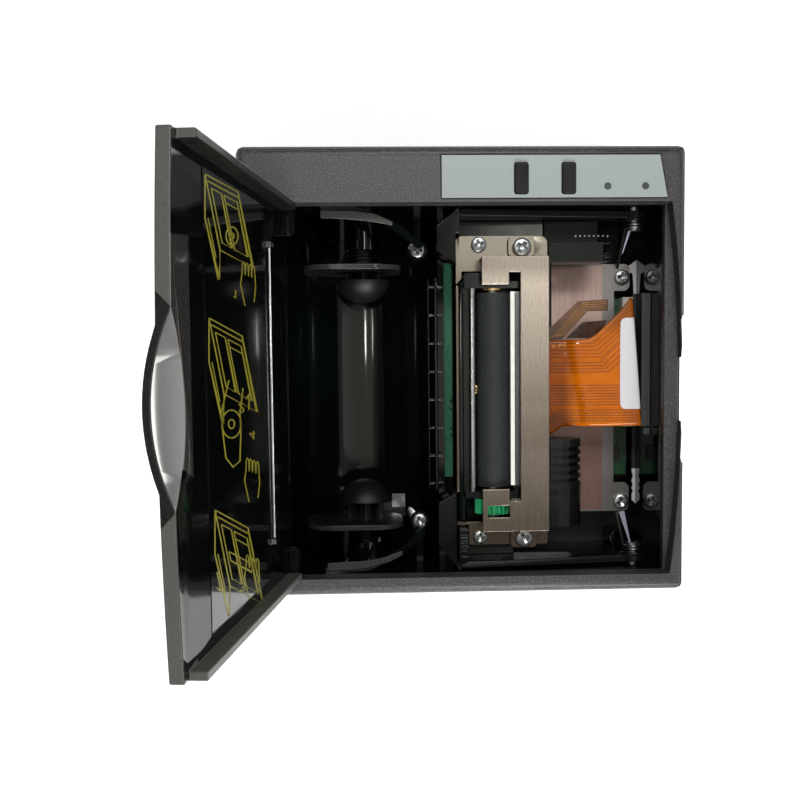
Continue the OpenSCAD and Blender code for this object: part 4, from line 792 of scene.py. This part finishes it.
# upper groups: level from the head, then up along the slanting edge
for k in range(5):
    y = 8.3 - 1.05 * k
    lines.append(trace([(trace_x0, y), (41.4 + 0.75 * k, y), (49.0 + 0.62 * k, y + 6.5 + 0.05 * k),
                        (52.6 + 0.75 * k, y + 12.0 - 0.3 * k)]))
for k in range(4):
    y = 2.35 - 0.95 * k
    lines.append(trace([(trace_x0, y), (43.6 + 0.9 * k, y), (50.3 + 0.5 * k, y + 6.6 - 0.5 * k),
                        (55.2, y + 8.4 - 0.4 * k)]))
# level group, which runs over the fold
for k in range(8):
    y = -4.6 - 0.86 * k
    lines.append(trace([(trace_x0, y), (trace_x1, y)]))
# lower group: fans out towards the corner by the motor
for k in range(5):
    y = -12.3 - 0.82 * k
    lines.append(trace([(28.2 + 0.25 * k, y - 3.0 + 0.1 * k), (31.0 + 0.5 * k, y), (trace_x1, y)]))
for k in range(3):
    lines.append(trace([(trace_x0, -9.3 - 1.2 * k), (27.0 + 1.2 * k, -9.3 - 0.2 * k)], 0.22))
flex_traces = ribbons("flex_traces", lines, None, "flex_film", TRACE)

# three ring pads near the head
m = PAD = Mat("copper_ring", (0.75, 0.36, 0.13), 0.25, 1.0)
m.color(m.tint(m.noise(0.5, detail=3), (0.62, 0.28, 0.09), (0.85, 0.45, 0.18)))
m.bump(m.noise(0.3), 0.01)
lines = []
for x, y in ((29.6, 7.55), (31.4, 7.8), (33.0, 8.2)):
    turns = [i * math.pi / 10 for i in range(21)]
    ring = [flex_point(x + 0.42 * math.cos(a), y + 0.42 * math.sin(a), 0.05)[0] for a in turns]
    lines.append((ring, 0.2, [UP] * 21))
ribbons("flex_pads", lines, "cradle", "flex_film", PAD)
for o in (flex_sheet, flex_traces):
    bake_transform(o)

# blank white label on the circuit, which goes over its fold
verts, faces = [], []
LABEL_Y = [-12.0, -11.75, -11.2, -10.4, -7, -3.5, 0, 3.5, 7, 10.5, 14.4, 15.2, 15.75, 16.0]
LABEL_X = [51.4, 50.6, 50.15, 49.95] + [49.85] * 6 + [49.95, 50.2, 50.65, 51.4]
for lift in (0.03, 0.13):
    for y, x in zip(LABEL_Y, LABEL_X):
        fold = bend_x(y)
        row = [x + (fold - x) * k / 4 for k in range(5)] + [fold + 0.3 * k for k in range(1, 7)]
        verts += [flex_point(q, y, lift)[0] for q in row]
n, rows = len(row), len(LABEL_Y)
for j in range(rows - 1):
    for i in range(n - 1):
        a = j * n + i
        b = a + rows * n
        faces += [(a, a + n, a + n + 1, a + 1), (b, b + 1, b + n + 1, b + n)]
for j in range(rows - 1):
    for i in (0, n - 1):
        a, b = j * n + i, (j + rows) * n + i
        faces.append((a, b, b + n, a + n) if i == 0 else (a, a + n, b + n, b))
for i in range(n - 1):
    for j in (0, rows - 1):
        a, b = j * n + i, (j + rows) * n + i
        faces.append((a, a + 1, b + 1, b) if j == 0 else (a, b, b + 1, a + 1))
new_object("circuit_label", verts, faces, "housing", "label_paper", smooth=40, replaces=("flex_label",))

# brown circuit of the sensor, under the other one, with its own pale traces
m = AMBER = Mat("brown_flex", (0.06, 0.022, 0.008), 0.3, Coat_Weight=0.4, Coat_Roughness=0.1)
m.color(m.tint(m.noise(4, detail=3), (0.055, 0.024, 0.012), (0.12, 0.048, 0.018)))
m.rough(m.span(m.noise(2, detail=3), 0.2, 0.4))
m.bump(m.noise(6, detail=1), 0.08)
nodes["sensor_flex"].material_slots[0].material = AMBER.m
m = PALE = Mat("pale_trace", (0.42, 0.20, 0.03), 0.3, Coat_Weight=0.4)
m.color(m.tint(m.noise(1.2), (0.36, 0.14, 0.018), (0.48, 0.22, 0.035)))
m.bump(m.noise(0.4), 0.01)
sensor_top = box_mm("sensor_flex")[1][2] + 0.03
lines = []
for k in range(4):
    o = 0.85 * k
    path = [(27.2 + 0.5 * o, 9.6 + 0.15 * o), (31.2 + o, 11.2), (39.2 + 0.5 * o, 20.9 - 0.75 * o),
            (46.6, 21.35 - 0.85 * o)]
    lines.append(([(x, y, sensor_top) for x, y in path], 0.19, [UP] * 4))
ribbons("sensor_traces", lines, body_of["sensor_flex"], "flex_film", PALE)

# ---------- line drawings on the lid's label: a plain box, a roll and arrows, with plain numbers

PRINT_LIFT = 0.025 * MM
art_verts, art_faces = [], []
first, second, third = (205, 174), (209, 318), (215, 510)  # corners of the drawn boxes
label_point, label_out = place(*second, tree_of(nodes["instruction_label"]))


def on_label(x, y):
    """The point in mm, just above the label's face, that shows at an image point."""
    start, way = pixel_ray(x, y)
    far = (label_point + label_out * PRINT_LIFT - start).dot(label_out) / way.dot(label_out)
    return (start + way * far) * 1000


def draw(path, at, width=1.3, closed=False):
    """A printed line through (x, y) steps from a place; all in image points, so it shows upright."""
    path = path + path[:1] if closed else path
    pts = [Vector((at[0] + x, at[1] + y, 0)) for x, y in path]
    vs, fs = ribbon(pts, width, [UP] * len(pts))
    art_faces.extend(tuple(len(art_verts) + i for i in f) for f in fs)
    art_verts.extend(on_label(v.x, v.y) for v in vs)


def ellipse(centre, rx, ry, at):
    turns = [math.radians(a) for a in range(0, 361, 18)]
    draw([(centre[0] + rx * math.cos(a), centre[1] + ry * math.sin(a)) for a in turns], at)


WIDE, TALL = Vector((33, 18)), Vector((15, 76))  # sides of a drawn box's face


def on_face(*steps):
    """Steps across and down a drawn box's face, as image points."""
    return [tuple(WIDE * s + TALL * t) for s, t in steps]


def printer(at, roller=False):
    """A plain box seen at a slant, with two openings and perhaps a roller."""
    draw(on_face((0, 0), (1, 0), (1, 1), (0, 1)), at, closed=True)
    draw([(0, 0), (0, 44), (14, 106), (15, 76)], at)
    draw(on_face((0.04, 0.08), (0.98, 0.08)), at)
    draw(on_face((0.12, 0.16), (0.42, 0.16), (0.42, 0.88), (0.12, 0.88)), at, 1.1, True)
    draw(on_face((0.5, 0.16), (0.9, 0.16), (0.9, 0.88), (0.5, 0.88)), at, 1.1, True)
    draw(on_face((0.5, 0.26), (0.9, 0.26)), at, 1.0)
    draw([(3, 44), (11, 84)], at, 1.0)
    if roller:
        draw(on_face((0.2, 0.5), (0.84, 0.5), (0.84, 0.62), (0.2, 0.62)), at, 1.1, True)


def arrow(a, b, at):
    draw([a, b], at)
    way = Vector((b[0] - a[0], b[1] - a[1])).normalized()
    side = Vector((-way.y, way.x))
    for k in (-1, 1):
        tip = Vector(b) - way * 5 + side * 3 * k
        draw([b, tuple(tip)], at)


def hand(at):
    """A simplified hand with four fingers and a cuff."""
    for k in range(4):
        x, y = 3.3 * k, 1.2 * k
        draw([(x, y + 12), (x + 0.3, y + 2), (x + 1.4, y), (x + 2.7, y + 2), (x + 3.0, y + 11)], at, 1.0)
    draw([(0, 12), (-1.5, 22), (1, 34), (3, 44)], at, 1.1)
    draw([(13, 14), (13.6, 26), (12, 40)], at, 1.1)


DIGITS = {
    1: [[(0, 1.2), (3.4, 1.2)], [(0, 1.2), (0.9, 0.4)]],
    2: [[(0.7, 0), (0, 0.6), (0, 1.6), (0.8, 2.2), (1.6, 1.8), (3.4, 0), (3.4, 2.2)]],
    3: [[(0.4, 0), (0, 1), (0.6, 2.1), (1.5, 1.6), (1.6, 0.8)],
        [(1.5, 1.6), (2.3, 2.2), (3.2, 1.6), (3.3, 0.6), (2.9, 0)]],
    4: [[(2.4, 2.3), (2.4, 0), (0, 1.6), (3.4, 1.6)]],
}


def digit(n, at):
    for path in DIGITS[n]:
        draw([(2.2 * y, 2.4 * (3.4 - x)) for x, y in path], at, 1.2)


printer(first)
ellipse((27, 62), 6, 9, first)
ellipse((27, 62), 2, 3, first)
hand((242, 262))
digit(1, (233, 290))
printer(second)
draw([(20, 62), (12, 96), (13, 104)], second)
draw([(34, 70), (31, 96), (32, 112)], second)
ellipse((22.5, 106), 9.5, 14, second)
ellipse((22.5, 106), 3, 4.5, second)
draw([(13, 108), (17, 140), (24, 149), (31, 143), (32, 108)], second)
arrow((40, 92), (40, 76), second)
digit(2, (239, 404))
digit(4, (250, 431))
hand((246, 458))
printer(third, True)
arrow((2, 62), (6, 82), third)
hand((246, 555))
digit(3, (240, 583))
m = YELLOW = Mat("yellow_print", (0.30, 0.26, 0.012), 0.4)
m.color(m.tint(m.noise(0.6, detail=3), (0.16, 0.14, 0.008), (0.30, 0.27, 0.02)))
m.bump(m.noise(0.5), 0.01)
new_object("label_drawings", art_verts, art_faces, "lid", "label_film", material=YELLOW)

# ---------- small parts round the print mechanism


def loft(name, sections, body, slot):
    """A solid through closed sections of equal length, with end caps."""
    n = len(sections[0])
    verts = [v for section in sections for v in section]
    faces = [tuple(range(n))[::-1], tuple((len(sections) - 1) * n + i for i in range(n))]
    for k in range(len(sections) - 1):
        for i in range(n):
            a, b = k * n + i, k * n + (i + 1) % n
            faces.append((a, b, b + n, a + n))
    return new_object(name, verts, faces, body, slot, smooth=40)


def slabs(name, plates, body, slot, material=None, bevel=0.1, replaces=()):
    """Flat plates in one piece; plates is a list of (outline in x and y, bottom, top)."""
    verts, faces = [], []
    for outline, low, high in plates:
        first, n = len(verts), len(outline)
        turn = sum(x0 * y1 - x1 * y0 for (x0, y0), (x1, y1) in zip(outline, outline[1:] + outline[:1]))
        outline = outline if turn > 0 else outline[::-1]
        verts += [(x, y, low) for x, y in outline] + [(x, y, high) for x, y in outline]
        faces += [tuple(first + i for i in range(n))[::-1], tuple(first + n + i for i in range(n))]
        for i in range(n):
            a, b = first + i, first + (i + 1) % n
            faces.append((a, b, b + n, a + n))
    o = new_object(name, verts, faces, body, slot, smooth=35, material=material, replaces=replaces)
    edge = o.modifiers.new("edges", "BEVEL")
    edge.width = bevel * MM
    edge.segments = 2
    return o


def rect(x0, y0, x1, y1):
    return [(x0, y0), (x1, y0), (x1, y1), (x0, y1)]


# black curved paper guide left of the roller, hooked at its top end
sections = []
for y, tip in ((-45.4, 0), (-44.8, 0), (-30, 0), (-15, 0), (0, 0), (15, 0), (23.6, 0), (26.2, 1.4),
               (28.0, 3.6), (29.3, 5.6)):
    x0, x1 = -1.25 + 0.7 * max(0.0, tip - 1), 2.25 + tip
    lift = 0.0 if y > -45 else -0.6
    sections.append([(x0, y, 50.05), (x0, y, 51.2 + lift), (x0 + 0.5, y, 52.1 + lift),
                     (x0 + 1.3, y, 52.5 + lift), (x1 - 1.0, y, 52.3 + lift), (x1 - 0.2, y, 51.4 + lift),
                     (x1, y, 50.05)])
loft("guide_cover", sections, body_of["mechanism_base"], "inner_plastic")
# brass screw beside the guide
vs, fs = screw_mesh(1.45, 0.8, 0.7, 1.6, 0.6)
new_object("brass_screw", [(4.15 + x, -5.3 + y, 51.2 + z) for x, y, z in vs], fs, body_of["mechanism_base"],
           "brass_bush", smooth=38)

# white tape at both ends of the insulation, black tape between them
TAPE_Z = 26.65
WHITE_TAPE = moulded("white_tape", (0.80, 0.79, 0.82), (0.90, 0.89, 0.92), 0.5, 0.4, 0.01)
slabs("tape_ends", [
    ([(57.0, 33.3), (59.75, 35.3), (59.75, 24.5), (58.9, 24.3), (58.5, 31.0), (57.0, 31.6)],
     TAPE_Z, TAPE_Z + 0.23),
    ([(58.45, -32.4), (59.75, -32.4), (59.75, -44.0), (58.5, -42.6), (58.5, -40.8), (59.0, -39.8),
      (58.4, -38.9), (58.9, -37.7), (58.4, -36.4), (58.9, -35.2)], TAPE_Z, TAPE_Z + 0.23),
], "housing", "label_paper", WHITE_TAPE, 0.03, ("insulation_strip",))
slabs("tape_middle", [(rect(58.45, -32.4, 59.75, 24.2), TAPE_Z - 0.01, TAPE_Z + 0.21)],
      "housing", "label_paper", M["cover_plastic"], 0.03)

# grey rail that holds the circuit by the right wall
slabs("cable_rail", [
    (rect(57.2, -17.4, 59.7, 23.6), 42.0, 44.6), (rect(56.8, -17.4, 57.3, 23.6), 44.0, 45.2),
    (rect(57.6, -20.0, 59.7, -17.9), 42.4, 44.6),
], "housing", "cast_alloy", M["cover_plastic"], 0.12)
# end bars of the paper trough
CHEEK_Z = 54.02
slabs("cheek_bars", [
    ([(-41.3, 47.9), (-41.3, 45.6), (-34.0, 45.3), (-26.7, 44.6), (-20.0, 43.4), (-20.0, 44.6),
      (-25.2, 46.9), (-32.5, 47.8)], CHEEK_Z, CHEEK_Z + 0.38),
    ([(-40.6, -57.0), (-40.7, -59.4), (-34.0, -59.3), (-27.9, -58.6), (-22.0, -57.0), (-18.0, -55.0),
      (-18.0, -53.6), (-23.0, -55.4), (-27.9, -56.5)], CHEEK_Z, CHEEK_Z + 0.38),
], "housing", "inner_plastic", CHEEK, 0.25)
# dark sheet under the sensor's circuit, a painted shadow
slabs("painted_shadow_patch", [([(36.6, 10.3), (42.1, 15.4), (49.9, 16.0), (48.6, 12.8), (44.4, 10.3)], 27.65, 27.9)],
      "housing", "flex_film", AMBER, 0.03)

# solder joints on the left and right strips of the board
verts, faces = [], []


def bead(x, y, z, r, h):
    """Adds a solder joint with the end of a lead on top."""
    first = len(verts)
    for k, (q, up) in enumerate(((1.0, 0.0), (0.85, 0.55), (0.5, 0.9), (0.28, 1.0), (0.2, 1.5))):
        for i in range(10):
            a = i * math.pi / 5
            verts.append((x + r * q * math.cos(a), y + r * q * math.sin(a), z + h * up))
        if k:
            for i in range(10):
                a, b = first + (k - 1) * 10 + i, first + (k - 1) * 10 + (i + 1) % 10
                faces.append((a, b, b + 10, a + 10))
    faces.append(tuple(first + 40 + i for i in range(10)))


board_top = box_mm("main_board")[1][2]
for y in (-9.8, -12.3, -18.6, -20.9):
    bead(-0.2, y, board_top, 0.62, 0.5)
for y in (-25.2, -27.4, 20.5):
    bead(54.3, y, board_top, 0.55, 0.4)
new_object("solder_joints", verts, faces, body_of["main_board"], "screw_steel", smooth=50)

# row of small sprue marks on the top arm of the swinging frame
ARM_Z = 41.7
marks = []
for k in range(8):
    x = 36.9 + 1.42 * k
    marks.append(([(x - 0.32, 41.15 + 0.25 * math.sin(0.4 * k)), (x + 0.1, 41.05), (x + 0.34, 41.5),
                   (x - 0.1, 41.75)], ARM_Z, ARM_Z + 0.12))
slabs("frame_marks", marks, body_of["swing_frame"], "bright_metal", M["screw_steel"], 0.03)

# blades of the swing springs: a lilac tint, with a painted highlight in their light colour
LILAC_HIGHLIGHT = moulded("blade_steel", (0.30, 0.30, 0.40), (0.42, 0.42, 0.54), 0.3, 0.4, 0.01)
slabs("spring_blades", [([(50.2, -44.3), (51.9, -44.0), (53.95, -54.0), (53.6, -54.1)], 43.6, 44.0),
                        ([(53.0, 43.8), (53.9, 43.5), (51.05, 35.7), (50.85, 35.8)], 43.6, 44.0)],
      body_of["swing_frame"], "wire_steel", LILAC_HIGHLIGHT, 0.05)

# white mark and ribbed edge on the motor
motor_body = body_of["stepper_motor"]
slabs("motor_mark", [(rect(27.7, -38.1, 31.1, -37.2), 49.9, 50.75)], motor_body, "label_paper", bevel=0.08)
slabs("motor_edge", [(rect(35.2, -24.0 - 1.1 * k, 35.9, -24.65 - 1.1 * k), 44.0, 45.4) for k in range(15)],
      motor_body, "motor_black", bevel=0.06)

# brownish block behind the lower hub, part of the paper sensor
slabs("sensor_block",
      [(rect(-34.6, -50.4, -13.4, -44.4), 8.0, 13.4), (rect(-34.0, -49.8, -14.0, -45.0), 13.4, 14.0)],
      "housing", "sensor_plastic",
      moulded("sensor_shell", (0.035, 0.030, 0.024), (0.05, 0.043, 0.036), 0.35, 0.4, 0.01), 0.3)

# ---------- floor, light and world

FLOOR = 3  # metres from the middle to each side
floor_me = bpy.data.meshes.new("floor")
floor_me.from_pydata([(x * FLOOR, y * FLOOR, -MM) for x, y in rect(-1, -1, 1, 1)], [], [(0, 1, 2, 3)])
floor = new_in_scene("floor", floor_me)
m = Mat("pale_floor", (0.93, 0.935, 0.93), 0.7)
m.color(m.tint(m.noise(60, detail=3), (0.92, 0.925, 0.92), (0.95, 0.95, 0.945)))
# the camera and reflected or refracted rays see a lighter floor than the one that lights the object
rays = m.node("LightPath")
seen = rays.outputs["Is Camera Ray"]
for other in ("Is Glossy Ray", "Is Transmission Ray"):
    most = m.node("Math")
    most.operation = "MAXIMUM"
    m.link(seen, most.inputs[0])
    m.link(rays.outputs[other], most.inputs[1])
    seen = most.outputs[0]
m.b.inputs["Emission Color"].default_value = (1, 1, 1, 1)
m.link(m.span(seen, 0.0, 0.35, 0.0, 1.0), m.b.inputs["Emission Strength"])
floor_me.materials.append(m.m)
floor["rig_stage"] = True

world = bpy.data.worlds.new("studio")
bpy.context.scene.world = world
world.use_nodes = True
wt = world.node_tree
bg = wt.nodes["Background"]
coord = wt.nodes.new("ShaderNodeTexCoord")
split = wt.nodes.new("ShaderNodeSeparateXYZ")
ramp = wt.nodes.new("ShaderNodeValToRGB")
wt.links.new(coord.outputs["Generated"], split.inputs[0])
wt.links.new(split.outputs["Z"], ramp.inputs["Fac"])
# light from the sides, dark overhead, so that level glossy faces look dark
ramp.color_ramp.elements[0].color = (0.80, 0.82, 0.85, 1)
ramp.color_ramp.elements[1].color = (0.10, 0.105, 0.11, 1)
for at, value in ((0.5, 0.85), (0.85, 0.8), (0.93, 0.45), (0.965, 0.12)):
    e = ramp.color_ramp.elements.new(at)
    e.color = (value * 0.98, value, value * 1.02, 1)
wt.links.new(ramp.outputs["Color"], bg.inputs["Color"])
bg.inputs["Strength"].default_value = 0.34


def area(name, place_mm, aim_mm, size, power, color):
    """A softbox that points at aim_mm."""
    data = bpy.data.lights.new(name, "AREA")
    data.shape = "RECTANGLE"
    data.size, data.size_y = size[0] * MM, size[1] * MM
    data.energy = power
    data.color = color
    o = new_in_scene(name, data)
    o.location = Vector(place_mm) * MM
    o.rotation_euler = (Vector(aim_mm) - Vector(place_mm)).to_track_quat("-Z", "Y").to_euler()
    o.visible_camera = False


for lamp in (
    ("key", (130, -640, 500), (20, 10, 40), (480, 240), 6.4, (1.0, 0.985, 0.96)),
    ("back", (60, 350, 690), (60, 10, 40), (430, 230), 2.7, (1.0, 0.985, 0.96)),
    ("glint", (129, 105, 690), (129, 20, 50), (80, 46), 0.07, (1.0, 0.97, 0.9)),
    ("streak", (-70, 27, 690), (-70, 10, 14), (22, 34), 0.10, (1.0, 0.98, 0.95)),
    ("streak_2", (-500, -8, 690), (-500, 0, 14), (50, 90), 0.06, (1.0, 0.98, 0.95)),
    ("veil", (-95, -18, 690), (-95, 0, 14), (1050, 150), 0.30, (1.0, 0.92, 0.83)),
    ("right", (950, -10, 40), (-60, 0, 150), (520, 150), 2.2, (1.0, 0.985, 0.95)),
):
    area(*lamp)

bpy.context.scene.view_settings.view_transform = "Standard"

# ---------- image points: how far each thing shows from its point

POINTS = [
    ("lid_left", 142.0, None, "lid_shell", "min_x"),
    ("bezel_right", 685.5, None, "front_bezel", "max_x"),
    ("lid_top", None, 120.0, "lid_shell", "min_y"),
    ("lid_bottom", None, 688.0, "lid_shell", "max_y"),
    ("bezel_top", None, 145.0, "front_bezel", "min_y"),
    ("bezel_bottom", None, 591.5, "front_bezel", "max_y"),
    ("feed_key", 521.1, 178.0, "feed_key", "middle"),
    ("print_key", 568.7, 178.2, "print_key", "middle"),
    ("strip_left", 441.1, None, "key_strip", "min_x"),
    ("strip_right", 666.9, None, "key_strip", "max_x"),
    ("bracket_left", 482.6, None, "platen_bracket", "min_x"),
    ("bracket_right", 548.8, None, "platen_bracket", "max_x"),
    ("bracket_top", None, 255.5, "platen_bracket", "min_y"),
    ("bracket_bottom", None, 532.0, "platen_bracket", "max_y"),
    ("base_top", None, 236.2, "mechanism_base", "min_y"),
    ("roller", 492.0, 389.5, "platen_rubber", "middle"),
    ("flex_label", 630.2, 363.0, "flex_label", "middle"),
]

shown = {o.name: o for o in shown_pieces()}


def stand_in(node):
    """The piece that stands for a CAD node, or the node."""
    for o in shown.values():
        if node in list(o.get("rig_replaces", [])):
            return o
    return nodes[node]


bpy.context.view_layer.update()
dg = bpy.context.evaluated_depsgraph_get()
everything = tree_of(*shown.values())
eye = CAM_M.translation
for name, px, py, node, how in POINTS:
    e = stand_in(node).evaluated_get(dg)
    me = e.to_mesh()
    seen = []
    for v in me.vertices:
        p = e.matrix_world @ v.co
        way = p - eye
        hit, _, _, far = everything.ray_cast(eye, way.normalized())
        if hit is None or far > way.length - 0.0006:
            seen.append(to_pixel(p))
    e.to_mesh_clear()
    if not seen:
        continue
